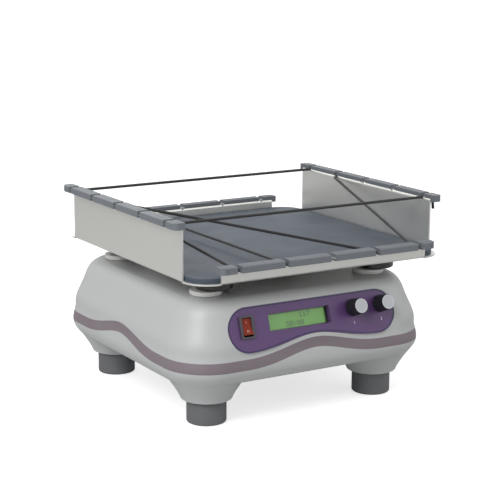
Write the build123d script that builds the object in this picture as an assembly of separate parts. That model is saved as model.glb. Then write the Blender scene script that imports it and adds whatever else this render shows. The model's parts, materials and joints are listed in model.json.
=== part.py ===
from build123d import *
import os
from math import cos, radians, sin

# Orbital shaker: a square tray on five cranks, over a moulded case with a sloping control panel.
# Origin: the drive axis, on the bench. +Z is up and the control panel faces -Y.

# Orbit and cranks
ORBIT_R = 9.5
REST_PHASE = 5.0
IDLER_X = 92.5
IDLER_Y = 89.5
RUN_FIT = 0.03
THRUST_GAP = 0.05

# Feet and under-case
FOOT_PITCH = 190.0
FOOT_R = 19.0
FOOT_H = 25.0
FOOT_SEAT = 2.0
FOOT_CBORE = 11.0
BOSS_R = 25.0
BOSS_TOP_R = 36.6
BOSS_CREST_R = 42.4
BOSS_BLEND = 6.4
BOSS_LIP = 2.0
ROOT_FILLET = 5.0
FLOOR_Z = 44.0
VENTS = 9
VENT_PITCH = 8.0
VENT_W = 3.0
VENT_L = 46.0

# Case shells
BODY_HALF = 139.3
CORNER_R = 44.0
CORNER_TAPER = 0.35
WALL = 3.0
COVER_TOP = 121.5
BELLY_FILLET = 6.0
LOW_SECTIONS = ((0.0, 8.0), (0.58, 6.5), (0.74, 3.6), (0.9, 0.6), (1.0, 0.0))
HIGH_SECTIONS = ((0.18, 2.2), (0.47, 6.6), (0.77, 12.2), (0.9, 15.8), (0.97, 20.0), (1.0, 26.0))

# Trim band that runs round the joint of the shells in one low wave a side
BAND_Z = 57.5
BAND_H = 10.0
WAVE_RISE = 11.5
WAVE_HALF = 75.0
BAND_STEP = 1.8
SEAT_GAP = 0.2

# Control panel
PANEL_TILT = 19.0
PANEL_Z = 93.5
PANEL_Y = -130.6
PANEL_END_X = 72.0
PANEL_END_R = 21.2
PANEL_V = -0.6
PANEL_DIP = 9.8
PANEL_T = 1.2
PANEL_WALL = 2.5
PANEL_GAP = 0.4

# Display
LCD_X = -14.5
LCD_V = 3.3
LCD_WELL_W = 68.0
LCD_WELL_H = 16.6
LCD_WELL_D = 4.0
LCD_RIM = 1.2
LCD_VIEW_W = 64.5
LCD_VIEW_H = 14.4
LCD_FRAME_W = 71.2
LCD_FRAME_H = 25.2
LCD_FRAME_D = 6.8
LCD_GLASS_GAP = 0.8
LCD_GLASS_T = 4.0
LCD_BOARD_W = 80.0
LCD_BOARD_H = 36.0
LCD_SCREW_X = 37.5
LCD_SCREW_V = 15.5
LCD_PILLAR_R = 2.8
LCD_SCREW_R = 1.25
BOARD_T = 1.6
GLASS_T = 1.2

# Power switch
SWITCH_X = -73.2
SWITCH_V = 2.2
BEZEL_W = 15.0
BEZEL_H = 21.0
BEZEL_T = 2.0
CUTOUT_W = 13.0
CUTOUT_H = 19.2
ROCKER_W = 9.4
ROCKER_H = 15.8
ROCKER_TILT = 10.0
ROCKER_GAP = 0.3
PIVOT_R = 1.0
PIVOT_N = -0.5
SWITCH_D = 14.0
SWITCH_BAY_D = 7.4
BLADE_W = 4.8
BLADE_T = 0.8
BLADE_L = 8.0
BLADE_V = (-6.5, 0.0, 6.5)

# Turning and pushing knobs
KNOB_X = (45.6, 77.2)
KNOB_V = 5.8
KNOB_R = 8.3
KNOB_BASE = 2.8
KNOB_TOP = 17.2
KNOB_FLUTES = 24
KNOB_TAPER = 3.2
CAP_R = 6.9
CAP_T = 1.6
CAP_PROUD = 0.4
ENC_SHAFT_R = 3.0
ENC_BUSH_R = 3.5
ENC_W = 12.4
ENC_D = 6.5
NUT_R = 5.6
NUT_T = 2.0
PCB_W = 52.0
PCB_H = 28.0

# Chassis
PLATE_Z = 50.0
PLATE_T = 4.0
PLATE_HALF = 110.0
PLATE_R = 22.0
SHAFT_R = 6.0
POST_R = 20.0
POST_TOP = 92.0
POST_FLANGE_R = 32.0
DRIVE_BEARING_R = 14.0
DRIVE_BEARING_T = 8.0
FLANGE_T = 5.0
PULLEY_R = 36.0
MOTOR_PULLEY_R = 12.0
PULLEY_H = 9.0
BELT_T = 1.6
MOTOR_X = -72.0
MOTOR_R = 27.0
WEIGHT_R = 50.0
WEIGHT_T = 9.0
SPOKE_HOLE_R = 8.0
CRANK_DISC_R = 22.0
BEARING_SEAT = 6.0
BRACKET_T = 3.0
BRACKET_TOE = 14.0

# Power supply board
SUPPLY_X = 77.0
SUPPLY_Y = 10.0
SUPPLY_W = 70.0
SUPPLY_D = 100.0
SUPPLY_LIFT = 6.0
SUPPLY_INSET = 5.0
CORE_AT = (92.0, -14.0)
CORE_W = 34.0
CORE_D = 28.0
CORE_H = 22.0
CAN_R = 8.0
CAN_X = 62.0
CAN_Y = (-22.0, -3.0)
FIN_X = 54.0
FIN_Y = 32.0
FIN_H = 24.0
RELAY_X = 88.0
RELAY_Y = (22.0, 38.0)
STRIP_AT = (86.0, 53.0)

# Corner idlers
IDLER_POST_R = 11.0
IDLER_SHAFT_R = 4.0
IDLER_BEARING_R = 8.0
IDLER_BEARING_T = 5.0
DISC_R = 15.5
DISC_T = 4.2
DISC_LIFT = 0.3

# Platform
TRAY_HALF = 140.5
TRAY_CORNER_R = 26.0
SHEET = 1.5
TRAY_Z = 141.0
SIDE_TOP = 194.0
FRONT_TOP = 155.6
FLANGE_W = 9.0
HUB_R = 18.0
HUB_GAP = 0.6
DRIVE_HUB_R = 26.0
MAT_T = 4.5
MAT_GAP = 1.7

# Edging and cord
NOTCH_PITCH = 50.5
NOTCH_W = 5.2
EDGE_END = 120.0
EDGE_OVER = 1.6
EDGE_CROWN = 3.3
EDGE_LIP = 1.7
EDGE_FIT = 0.05
BEND_R = 1.5
WALL_END = 114.5
CORD_R = 1.45
SLOT_W = 3.4
KNOT_R = 2.5
KNOT_L = 5.0
CORD_BEND = 3.0
TAIL_DROP = 13.0
SLOT_DROP = 0.7
STRANDS = (
    (("L", 0), ("R", 0)),
    (("F", 0), ("L", 3)),
    (("F", 1), ("B", 1)),
    (("F", 3), ("L", 2)),
    (("F", 4), ("R", 3)),
    (("L", 4), ("R", 4)),
)

# Mains inlet
INLET_Z = 95.0
INLET_FACE = 124.0
INLET_W = 50.0
INLET_H = 25.0
INLET_T = 3.0
INLET_R = 4.0
SOCKET_W = 24.6
SOCKET_H = 16.6
SOCKET_D = 16.0
SOCKET_WALL = 1.8
SOCKET_CUT = 5.0
PIN_W = 2.0
PIN_H = 4.0
INLET_SCREW_X = 20.0
PINS = ((-7.0, -1.4), (0.0, 2.6), (7.0, -1.4))

# Fasteners
M6_R = 3.0
M4_R = 2.0
M3_R = 1.5
CASE_POST_X = 122.0
CASE_POST_Y = 38.0
M4_HEAD_R = 3.6
M4_HEAD_T = 3.0
M3_HEAD_R = 2.6
M3_HEAD_T = 2.5

THROW = (ORBIT_R * cos(radians(REST_PHASE)), ORBIT_R * sin(radians(REST_PHASE)))
FOOT_XY = [(sx * FOOT_PITCH / 2, sy * FOOT_PITCH / 2) for sy in (-1, 1) for sx in (-1, 1)]
IDLER_XY = [(sx * IDLER_X, sy * IDLER_Y) for sy in (-1, 1) for sx in (-1, 1)]
CORNERS = ("front_left", "front_right", "rear_left", "rear_right")
BOSS_Z = FOOT_H - FOOT_SEAT
DISC_Z = COVER_TOP + DISC_LIFT
DISC_TOP = DISC_Z + DISC_T
HUB_Z = DISC_TOP + HUB_GAP
MAT_Z = TRAY_Z + SHEET + MAT_T
NOTCHES = [i * NOTCH_PITCH for i in (-2, -1, 0, 1, 2)]


def put(shape, name):
    export_step(shape if isinstance(shape, Compound) else Compound(shape.solids()), f"parts/{name}.step")


def group(solids):
    return Compound([s for part in solids for s in part.solids()])


def rod(r, z0, z1, xy=(0, 0)):
    return Pos(xy[0], xy[1], z0) * Cylinder(r, z1 - z0, align=(Align.CENTER, Align.CENTER, Align.MIN))


def tube(r, bore, z0, z1, xy=(0, 0)):
    return rod(r, z0, z1, xy) - rod(bore, z0 - 1, z1 + 1, xy)


def block(w, d, z0, z1, xy=(0, 0)):
    return Pos(xy[0], xy[1], z0) * Box(w, d, z1 - z0, align=(Align.CENTER, Align.CENTER, Align.MIN))


def slab(half, r, z0, z1, xy=(0, 0)):
    return extrude(Pos(xy[0], xy[1], z0) * RectangleRounded(2 * half, 2 * half, r), z1 - z0)


# Case envelope: rounded squares lofted from the bosses to the flat top
def envelope(inset):
    sections = []
    band_top = BAND_Z + BAND_H
    for share, draw_in in LOW_SECTIONS:
        sections.append((BOSS_Z - 3 + share * (BAND_Z + 3 - BOSS_Z), draw_in))
    for share, draw_in in HIGH_SECTIONS:
        sections.append((band_top + share * (COVER_TOP - band_top), draw_in))
    faces = []
    for z, draw_in in sections:
        half = BODY_HALF - draw_in - inset
        corner_r = CORNER_R - CORNER_TAPER * draw_in - inset
        faces.append(Pos(0, 0, z) * RectangleRounded(2 * half, 2 * half, corner_r))
    return loft(faces)


# Everything below the wavy line that starts at height z in the corners, made of four like quarters
def below_wave(z):
    reach = BODY_HALF + 20
    line = Line((-reach, z), (-WAVE_HALF, z))
    line += Spline((-WAVE_HALF, z), (0, z + WAVE_RISE), (WAVE_HALF, z), tangents=((1, 0), (1, 0)))
    line += Polyline((WAVE_HALF, z), (reach, z), (reach, -10), (-reach, -10), (-reach, z))
    ridge = extrude(Plane.XZ * make_face(line), reach)
    corner = make_face(Polyline((0, 0), (-reach, -reach), (reach, -reach), (0, 0)))
    quarter = ridge & extrude(Pos(0, 0, -20) * corner, z + WAVE_RISE + 30)
    return quarter + [Rot(0, 0, a) * quarter for a in (90, 180, 270)]


os.makedirs("parts", exist_ok=True)

# Panel plane: local x runs right, local y up the slope, local z out of the panel
panel = Plane(
    origin=(0, PANEL_Y, PANEL_Z),
    x_dir=(1, 0, 0),
    z_dir=(0, -cos(radians(PANEL_TILT)), sin(radians(PANEL_TILT))),
)


def panel_outline(grow):
    top = PANEL_V + PANEL_END_R + grow
    low = PANEL_V - PANEL_END_R - grow
    end = PANEL_END_X + PANEL_END_R + grow
    line = Line((-PANEL_END_X, top), (PANEL_END_X, top))
    line += ThreePointArc((PANEL_END_X, top), (end, PANEL_V), (PANEL_END_X, low))
    middle = (0, low + PANEL_DIP)
    line += Spline((PANEL_END_X, low), middle, (-PANEL_END_X, low), tangents=((-1, 0), (-1, 0)))
    line += ThreePointArc((-PANEL_END_X, low), (-end, PANEL_V), (-PANEL_END_X, top))
    return make_face(line)


def on_panel(sketch, z0, z1):
    return extrude(panel.offset(z0) * sketch, z1 - z0)


def panel_box(w, h, z0, z1, x, v, r=0.0):
    flat = RectangleRounded(w, h, r) if r else Rectangle(w, h)
    return on_panel(Pos(x, v) * flat, z0, z1)


def panel_rod(r, z0, z1, x, v):
    return on_panel(Pos(x, v) * Circle(r), z0, z1)


# Shell blanks
outer = envelope(0)
inner = envelope(WALL)
below_band = below_wave(BAND_Z)
below_cover = below_wave(BAND_Z + BAND_H)
big = 2 * BODY_HALF + 40

# Under-case: belly with rounded bottom edge, and four flared leg bosses with rounded roots
belly = outer - block(big, big, 0, FLOOR_Z)
belly = fillet(belly.edges().filter_by(lambda e: abs(e.center().Z - FLOOR_Z) < 0.05), BELLY_FILLET)
boss_low = BOSS_Z + BOSS_LIP
crest = (BOSS_CREST_R, FLOOR_Z + BOSS_BLEND)
flare = Spline(
    (BOSS_R, boss_low),
    (BOSS_R + 0.48 * (BOSS_TOP_R - BOSS_R), FLOOR_Z - 0.48 * (FLOOR_Z - boss_low)),
    (BOSS_TOP_R, FLOOR_Z - 0.5),
    (BOSS_TOP_R + 0.57 * (BOSS_CREST_R - BOSS_TOP_R), FLOOR_Z + 0.5 * BOSS_BLEND),
    crest,
    tangents=((0.42, 1), (0.52, 1)),
)
boss_line = Polyline((0, BOSS_Z), (BOSS_R - BOSS_LIP, BOSS_Z))
boss_line += ThreePointArc(
    (BOSS_R - BOSS_LIP, BOSS_Z), (BOSS_R - 0.3 * BOSS_LIP, BOSS_Z + 0.3 * BOSS_LIP), (BOSS_R, boss_low)
)
boss_line += flare
boss_line += Polyline(crest, (BOSS_CREST_R + 2, crest[1] + 4), (0, crest[1] + 4), (0, BOSS_Z))
boss = revolve(Plane.XZ * make_face(boss_line), Axis.Z)
pocket_r = BOSS_R - WALL - BOSS_LIP
pocket = revolve(
    Plane.XZ
    * make_face(
        Polyline(
            (0, FOOT_H + WALL),
            (pocket_r, FOOT_H + WALL),
            (BOSS_TOP_R - 2 * WALL, FLOOR_Z),
            (BOSS_TOP_R - 2 * WALL, FLOOR_Z + WALL + 1),
            (0, FLOOR_Z + WALL + 1),
            (0, FOOT_H + WALL),
        )
    ),
    Axis.Z,
)
base = belly + [Pos(x, y) * boss & outer for x, y in FOOT_XY]
own = belly.edges()


def same_edge(one, other):
    return (one.center() - other.center()).length < 0.05 and abs(one.length - other.length) < 0.05


def is_root(edge):
    low = edge.bounding_box().min.Z > FLOOR_Z - 0.5 and edge.center().Z < FLOOR_Z + BELLY_FILLET + 2
    return low and not any(same_edge(edge, known) for known in own)


base = fillet(base.edges().filter_by(is_root), ROOT_FILLET)
base = base & below_band
base -= inner - block(big, big, 0, FLOOR_Z + WALL)
for x, y in FOOT_XY:
    base -= Pos(x, y) * pocket
post_r = M6_R + 5
case_post_r = M4_R + 3.5
head_z = FLOOR_Z + 7
case_post_top = BAND_Z + 2
for x, y in FOOT_XY:
    base += rod(post_r, FOOT_H, PLATE_Z, (x, y))
    base -= rod(FOOT_R + SEAT_GAP, BOSS_Z - 5, FOOT_H, (x, y))
    base -= rod(M6_R + SEAT_GAP, FOOT_H - 5, PLATE_Z + 5, (x, y))
CASE_POSTS = [(sx * CASE_POST_X, sy * CASE_POST_Y) for sy in (-1, 1) for sx in (-1, 1)]
for x, y in CASE_POSTS:
    base += rod(case_post_r, FLOOR_Z + 1, case_post_top, (x, y)) & outer
    base -= rod(M4_R * 2 + SEAT_GAP, FLOOR_Z - 5, head_z, (x, y))
    base -= rod(M4_R + SEAT_GAP, head_z - 1, case_post_top + 5, (x, y))
for i in range(VENTS):
    base -= extrude(
        Pos((i - (VENTS - 1) / 2) * VENT_PITCH, -62, FLOOR_Z - 1) * SlotOverall(VENT_L, VENT_W, rotation=90),
        WALL + 2,
    )
put(base, "base_shell")

# Trim band: a flush strip between the shells, thicker than their walls
band = (outer - envelope(WALL + BAND_STEP)) & (below_cover - below_band)
put(band, "trim_band")

# Upper cover with its panel pocket, inlet pocket, shaft holes and screw posts
cavity = inner & block(big, big, 0, COVER_TOP - WALL)
cavity -= on_panel(panel_outline(4), -PANEL_WALL, 40)
pocket_w = INLET_W + 2
pocket_h = INLET_H + 3
cavity -= block(
    pocket_w + 2 * WALL,
    40,
    INLET_Z - pocket_h / 2 - WALL,
    INLET_Z + pocket_h / 2 + WALL,
    (0, INLET_FACE - WALL + 20),
)
cover = outer - below_cover - cavity
cover -= on_panel(panel_outline(PANEL_GAP), 0, 40)
cover -= block(pocket_w, 40, INLET_Z - pocket_h / 2, INLET_Z + pocket_h / 2, (0, INLET_FACE + 20))
cover -= block(SOCKET_W + 4, 60, INLET_Z - SOCKET_H / 2 - 2, INLET_Z + SOCKET_H / 2 + 2, (0, INLET_FACE))
for x in (-INLET_SCREW_X, INLET_SCREW_X):
    cover -= Pos(x, INLET_FACE, INLET_Z) * Rot(90, 0, 0) * Cylinder(M3_R, 20)
well_w = LCD_WELL_W + 2 * LCD_RIM
well_h = LCD_WELL_H + 2 * LCD_RIM
cover -= panel_box(well_w + 2 * SEAT_GAP, well_h + 2 * SEAT_GAP, -20, 5, LCD_X, LCD_V)
cover -= panel_box(CUTOUT_W, CUTOUT_H, -20, 5, SWITCH_X, SWITCH_V)
for x in KNOB_X:
    cover -= panel_rod(ENC_BUSH_R + SEAT_GAP, -20, 5, x, KNOB_V)
lcd_front = -LCD_WELL_D - GLASS_T
lcd_back = lcd_front - LCD_FRAME_D
LCD_HOLES = [(LCD_X + sx * LCD_SCREW_X, LCD_V + sv * LCD_SCREW_V) for sx in (-1, 1) for sv in (-1, 1)]
for x, v in LCD_HOLES:
    cover += panel_rod(LCD_PILLAR_R, lcd_back, -PANEL_WALL + 0.5, x, v)
    cover -= panel_rod(LCD_SCREW_R, lcd_back - 1, -PANEL_WALL - 2, x, v)
for x, y in CASE_POSTS:
    cover += rod(case_post_r, case_post_top, COVER_TOP - 1, (x, y)) & outer
    cover -= rod(M4_R, case_post_top - 1, case_post_top + 22, (x, y))
for x, y in IDLER_XY:
    cover -= rod(IDLER_POST_R + 2 * SEAT_GAP, COVER_TOP - 20, COVER_TOP + 5, (x, y))
cover -= rod(SHAFT_R + 6, COVER_TOP - 20, COVER_TOP + 5)
put(cover, "upper_cover")

# Control panel with the sunk well of the display
fascia = on_panel(panel_outline(0), 0, PANEL_T)
fascia += panel_box(well_w, well_h, -LCD_WELL_D, 0, LCD_X, LCD_V)
fascia -= panel_box(LCD_WELL_W, LCD_WELL_H, -20, 5, LCD_X, LCD_V, 1.0)
fascia -= panel_box(CUTOUT_W, CUTOUT_H, -20, 5, SWITCH_X, SWITCH_V)
for x in KNOB_X:
    fascia -= panel_rod(ENC_BUSH_R + SEAT_GAP, -20, 5, x, KNOB_V)
put(fascia, "control_panel")

# Display: clear window, glass, steel frame with light guide, and board
put(panel_box(well_w, well_h, lcd_front, -LCD_WELL_D, LCD_X, LCD_V), "lcd_window")
glass_front = lcd_front - LCD_GLASS_GAP
glass_back = glass_front - LCD_GLASS_T
frame = panel_box(LCD_FRAME_W, LCD_FRAME_H, lcd_back, lcd_front, LCD_X, LCD_V)
frame -= panel_box(LCD_FRAME_W - 1.6, LCD_FRAME_H - 1.6, lcd_back - 1, glass_front, LCD_X, LCD_V)
frame -= panel_box(LCD_VIEW_W, LCD_VIEW_H, -20, 5, LCD_X, LCD_V)
put(panel_box(LCD_FRAME_W - 2.2, LCD_FRAME_H - 2.2, glass_back, glass_front, LCD_X, LCD_V), "lcd_panel")
guide = panel_box(LCD_FRAME_W - 6, LCD_FRAME_H - 6, lcd_back, glass_back, LCD_X, LCD_V)
board = panel_box(LCD_BOARD_W, LCD_BOARD_H, lcd_back - BOARD_T, lcd_back, LCD_X, LCD_V)
screws = []
for x, v in LCD_HOLES:
    board -= panel_rod(LCD_SCREW_R + 0.15, lcd_back - 5, lcd_back + 5, x, v)
    head = panel_rod(LCD_SCREW_R + 1, lcd_back - BOARD_T - 1.6, lcd_back - BOARD_T, x, v)
    screws.append(head + panel_rod(LCD_SCREW_R, lcd_back - BOARD_T, lcd_back + 4, x, v))
put(group([frame, guide, board]), "lcd_module")

# Power switch: snap-in body with blade terminals, and the rocker pressed to its top end
bay_w = ROCKER_W + 2 * ROCKER_GAP
bay_h = CUTOUT_H - 1.4
body_w = CUTOUT_W - 0.2
switch = panel_box(body_w, CUTOUT_H - 0.2, -SWITCH_D, PANEL_T, SWITCH_X, SWITCH_V)
switch += panel_box(BEZEL_W, BEZEL_H, PANEL_T, PANEL_T + BEZEL_T, SWITCH_X, SWITCH_V, 0.8)
switch -= panel_box(bay_w, bay_h, -SWITCH_BAY_D, 8, SWITCH_X, SWITCH_V)
axle_plane = Plane(
    origin=panel.from_local_coords((SWITCH_X, SWITCH_V, PIVOT_N)), x_dir=panel.y_dir, z_dir=panel.x_dir
)
axle_len = bay_w + 2.0
switch -= extrude(axle_plane.offset(-axle_len / 2 - 0.1) * Circle(PIVOT_R + 0.05), axle_len + 0.2)
blades = []
for v in BLADE_V:
    blades.append(panel_box(BLADE_W, BLADE_T, -SWITCH_D - BLADE_L, -SWITCH_D, SWITCH_X, SWITCH_V + v))
put(group([switch] + blades), "switch_body")
half = ROCKER_H / 2
face_line = Polyline((-half + 0.8, -1.5), (-half, 3.6), (0, 2.3), (half, 3.6), (half - 0.8, -1.5))
face_line += ThreePointArc((half - 0.8, -1.5), (0, -6.0), (-half + 0.8, -1.5))
rocker_face = Rot(0, 0, -ROCKER_TILT) * make_face(face_line)
rocker = extrude(axle_plane.offset(-ROCKER_W / 2) * rocker_face, ROCKER_W)
rocker += extrude(axle_plane.offset(-axle_len / 2) * Circle(PIVOT_R), axle_len)
put(rocker, "rocker")

# Two knobs, each on a push-and-turn encoder
enc_back = -PANEL_WALL - ENC_D
bush_top = PANEL_T + 4.0
knob_h = KNOB_TOP - KNOB_BASE
nuts = []
for name, x in zip(("time", "speed"), KNOB_X):
    seat = Plane(origin=panel.from_local_coords((x, KNOB_V, 0)), x_dir=panel.x_dir, z_dir=panel.z_dir)
    case = block(ENC_W, ENC_W, enc_back, -PANEL_WALL) + rod(ENC_BUSH_R, -PANEL_WALL, bush_top)
    case -= rod(5.0, enc_back + 0.6, -PANEL_WALL - 1.2)
    case -= rod(ENC_SHAFT_R, enc_back + 0.6, bush_top + 1)
    put(seat.location * case, f"{name}_encoder")
    shaft_r = ENC_SHAFT_R - RUN_FIT
    rotor = tube(4.7, shaft_r + RUN_FIT, enc_back + 2.0, enc_back + 3.6)
    put(seat.location * rotor, f"{name}_rotor")
    put(seat.location * rod(shaft_r, enc_back + 1.5, KNOB_TOP - 3), f"{name}_shaft")
    flutes = Circle(KNOB_R) - PolarLocations(KNOB_R + 0.15, KNOB_FLUTES) * Circle(0.6)
    grip = extrude(Pos(0, 0, KNOB_BASE) * flutes, knob_h, taper=KNOB_TAPER)
    grip += rod(KNOB_R, KNOB_BASE, KNOB_BASE + 1.2)
    grip -= rod(6.2, KNOB_BASE - 1, KNOB_BASE + 6)
    grip -= rod(shaft_r, KNOB_BASE - 1, KNOB_TOP - 3)
    grip -= rod(CAP_R, KNOB_TOP - CAP_T + CAP_PROUD, KNOB_TOP + 1)
    put(seat.location * grip, f"{name}_knob")
    cap = rod(CAP_R, KNOB_TOP - CAP_T + CAP_PROUD, KNOB_TOP + CAP_PROUD)
    cap -= rod(CAP_R - 0.9, KNOB_TOP + CAP_PROUD - 0.3, KNOB_TOP + CAP_PROUD + 1)
    put(seat.location * cap, f"{name}_cap")
    hexagon = RegularPolygon(NUT_R, 6) - Circle(ENC_BUSH_R)
    nuts.append(seat.location * extrude(Pos(0, 0, PANEL_T) * hexagon, NUT_T))
put(group(nuts), "encoder_nuts")
knob_mid = sum(KNOB_X) / 2
pcb_back = enc_back - BOARD_T
parts = [panel_box(PCB_W, PCB_H, pcb_back, enc_back, knob_mid, KNOB_V)]
parts += [panel_box(14, 5, pcb_back - 7, pcb_back, knob_mid, KNOB_V - 9)]
parts += [panel_rod(3.2, pcb_back - 8, pcb_back, knob_mid + dx, KNOB_V + 6) for dx in (-9, 0)]
parts += [panel_box(8, 8, pcb_back - 1.5, pcb_back, knob_mid + 14, KNOB_V + 3)]
put(group(parts), "control_board")

# Feet and their long screws, which clamp the under-case to the chassis plate
foot_screws = []
for name, (x, y) in zip(CORNERS, FOOT_XY):
    foot = fillet(rod(FOOT_R, 0, FOOT_H).edges().sort_by(Axis.Z)[0], 2.0)
    foot -= rod(7.0, -1, FOOT_CBORE)
    foot -= rod(M6_R + SEAT_GAP, 0, FOOT_H + 1)
    put(Pos(x, y, 0) * foot, f"foot_{name}")
    head = rod(2 * M6_R - 0.8, FOOT_CBORE - 5, FOOT_CBORE, (x, y))
    foot_screws.append(head + rod(M6_R, FOOT_CBORE, PLATE_Z + PLATE_T - 0.5, (x, y)))
put(group(foot_screws), "foot_screws")
case_screws = []
for at in CASE_POSTS:
    head = rod(M4_HEAD_R, head_z - M4_HEAD_T, head_z, at)
    case_screws.append(head + rod(M4_R, head_z, case_post_top + 20, at))

# Chassis plate
plate = slab(PLATE_HALF, PLATE_R, PLATE_Z, PLATE_Z + PLATE_T)
for y in (-76, 78):
    plate -= extrude(Pos(0, y, PLATE_Z - 1) * RectangleRounded(74, 42, 8), PLATE_T + 2)
for x, y in FOOT_XY:
    plate -= rod(M6_R, PLATE_Z - 1, PLATE_Z + PLATE_T + 1, (x, y))
deck = PLATE_Z + PLATE_T


# Screw from the plate up through a part whose top face is at seat, with its head above that
def m4_screw(seat, at):
    return rod(M4_HEAD_R, seat, seat + M4_HEAD_T, at) + rod(M4_R, PLATE_Z, seat, at)


def m3_screw(seat, at):
    return rod(M3_HEAD_R, seat, seat + M3_HEAD_T, at) + rod(M3_R, PLATE_Z, seat, at)


# Drive post with two bearings
bearings = []
drive_post = rod(POST_FLANGE_R, deck, deck + FLANGE_T) + rod(POST_R, deck, POST_TOP)
drive_post -= rod(DRIVE_BEARING_R - 2, deck - 1, POST_TOP + 1)
lower_seat = deck + BEARING_SEAT
drive_post -= rod(DRIVE_BEARING_R, deck - 1, lower_seat + DRIVE_BEARING_T)
drive_post -= rod(DRIVE_BEARING_R, POST_TOP - DRIVE_BEARING_T, POST_TOP + 1)
post_holes = PolarLocations((POST_R + POST_FLANGE_R) / 2, 4, start_angle=45)
fix = []
for at in [(p.position.X, p.position.Y) for p in post_holes]:
    drive_post -= rod(M4_R, deck - 1, deck + FLANGE_T + 1, at)
    plate -= rod(M4_R, PLATE_Z - 1, deck + 1, at)
    fix.append(m4_screw(deck + FLANGE_T, at))
for z in (lower_seat, POST_TOP - DRIVE_BEARING_T):
    bearings.append(tube(DRIVE_BEARING_R, SHAFT_R + RUN_FIT, z, z + DRIVE_BEARING_T))
put(drive_post, "drive_post")

# Idler posts at the four corners, with two bearings each
idler_top = COVER_TOP - 0.5
upper_seat = COVER_TOP - 3.5 - IDLER_BEARING_T
idler_posts = []
for at in IDLER_XY:
    post = rod(IDLER_POST_R + 6, deck, deck + FLANGE_T, at) + rod(IDLER_POST_R, deck, idler_top, at)
    post -= rod(IDLER_BEARING_R - 1.5, deck - 1, idler_top + 1, at)
    post -= rod(IDLER_BEARING_R, deck - 1, lower_seat + IDLER_BEARING_T, at)
    post -= rod(IDLER_BEARING_R, upper_seat, idler_top + 1, at)
    for place in PolarLocations(IDLER_POST_R + 3, 3, start_angle=90):
        hole = (at[0] + place.position.X, at[1] + place.position.Y)
        post -= rod(M3_R, deck - 1, deck + FLANGE_T + 1, hole)
        plate -= rod(M3_R, PLATE_Z - 1, deck + 1, hole)
        fix.append(m3_screw(deck + FLANGE_T, hole))
    idler_posts.append(post)
    for z in (lower_seat, upper_seat):
        bearings.append(tube(IDLER_BEARING_R, IDLER_SHAFT_R + RUN_FIT, z, z + IDLER_BEARING_T, at))
put(group(idler_posts), "idler_posts")
put(group(bearings), "shaft_bearings")

# Motor hung under an inverted-U bracket
motor_at = (MOTOR_X, 0)
bracket_top = POST_TOP - 1
leg = MOTOR_R + 4
foot_out = leg + BRACKET_TOE
bracket_line = Polyline(
    (-foot_out, deck),
    (-leg + BRACKET_T, deck),
    (-leg + BRACKET_T, bracket_top - BRACKET_T),
    (leg - BRACKET_T, bracket_top - BRACKET_T),
    (leg - BRACKET_T, deck),
    (foot_out, deck),
    (foot_out, deck + BRACKET_T),
    (leg, deck + BRACKET_T),
    (leg, bracket_top),
    (-leg, bracket_top),
    (-leg, deck + BRACKET_T),
    (-foot_out, deck + BRACKET_T),
    (-foot_out, deck),
)
bracket = extrude(Plane.YZ.offset(MOTOR_X - MOTOR_R) * make_face(bracket_line), 2 * MOTOR_R)
bracket = fillet(
    bracket.edges().filter_by(Axis.X).filter_by(lambda e: abs(e.center().Z - bracket_top) < 0.1), BRACKET_T
)
bracket -= rod(10, bracket_top - 10, bracket_top + 1, motor_at)
motor_top = bracket_top - BRACKET_T
motor = rod(MOTOR_R - 0.5, deck + 3, motor_top, motor_at)
motor = fillet(motor.edges().sort_by(Axis.Z)[0], 2.0) - rod(MOTOR_R - 5, deck + 6, motor_top - 4, motor_at)
motor -= rod(M3_R * 2 + RUN_FIT, deck + 4, motor_top + 1, motor_at)
for at in [(MOTOR_X + sx * 13, sy * 13) for sx in (-1, 1) for sy in (-1, 1)]:
    motor -= rod(M3_R, motor_top - 4, motor_top + 1, at)
    bracket -= rod(M3_R, motor_top - 1, bracket_top + 1, at)
    fix.append(rod(2.8, bracket_top, bracket_top + 2, at) + rod(M3_R, motor_top - 4, bracket_top, at))
for at in [(MOTOR_X + sx * 18, sy * (leg + 7)) for sx in (-1, 1) for sy in (-1, 1)]:
    bracket -= rod(M4_R, deck - 1, deck + BRACKET_T + 1, at)
    plate -= rod(M4_R, PLATE_Z - 1, deck + 1, at)
    fix.append(m4_screw(deck + BRACKET_T, at))
put(motor, "motor_body")
put(bracket, "motor_bracket")
pulley_z = POST_TOP + 2
pulley_top = pulley_z + PULLEY_H
motor_shaft_r = 2 * M3_R
rotor = rod(MOTOR_R - 5.5, deck + 7, motor_top - 5, motor_at)
rotor += rod(motor_shaft_r, deck + 4.5, pulley_top + 1, motor_at)
put(rotor, "motor_rotor")
small = rod(MOTOR_PULLEY_R, pulley_z, pulley_top, motor_at)
small += rod(MOTOR_PULLEY_R + 2, pulley_z - 1, pulley_z, motor_at)
small += rod(MOTOR_PULLEY_R + 2, pulley_top, pulley_top + 1, motor_at)
put(small - rod(motor_shaft_r, pulley_z - 5, pulley_top + 5, motor_at), "motor_pulley")


def belt_loop(grow):
    rounds = Circle(PULLEY_R + grow).edges() + (Pos(MOTOR_X, 0) * Circle(MOTOR_PULLEY_R + grow)).edges()
    return make_hull(rounds)


belt = extrude(Pos(0, 0, pulley_z + 0.5) * (belt_loop(RUN_FIT + BELT_T) - belt_loop(RUN_FIT)), PULLEY_H - 1)
put(belt, "drive_belt")

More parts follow.
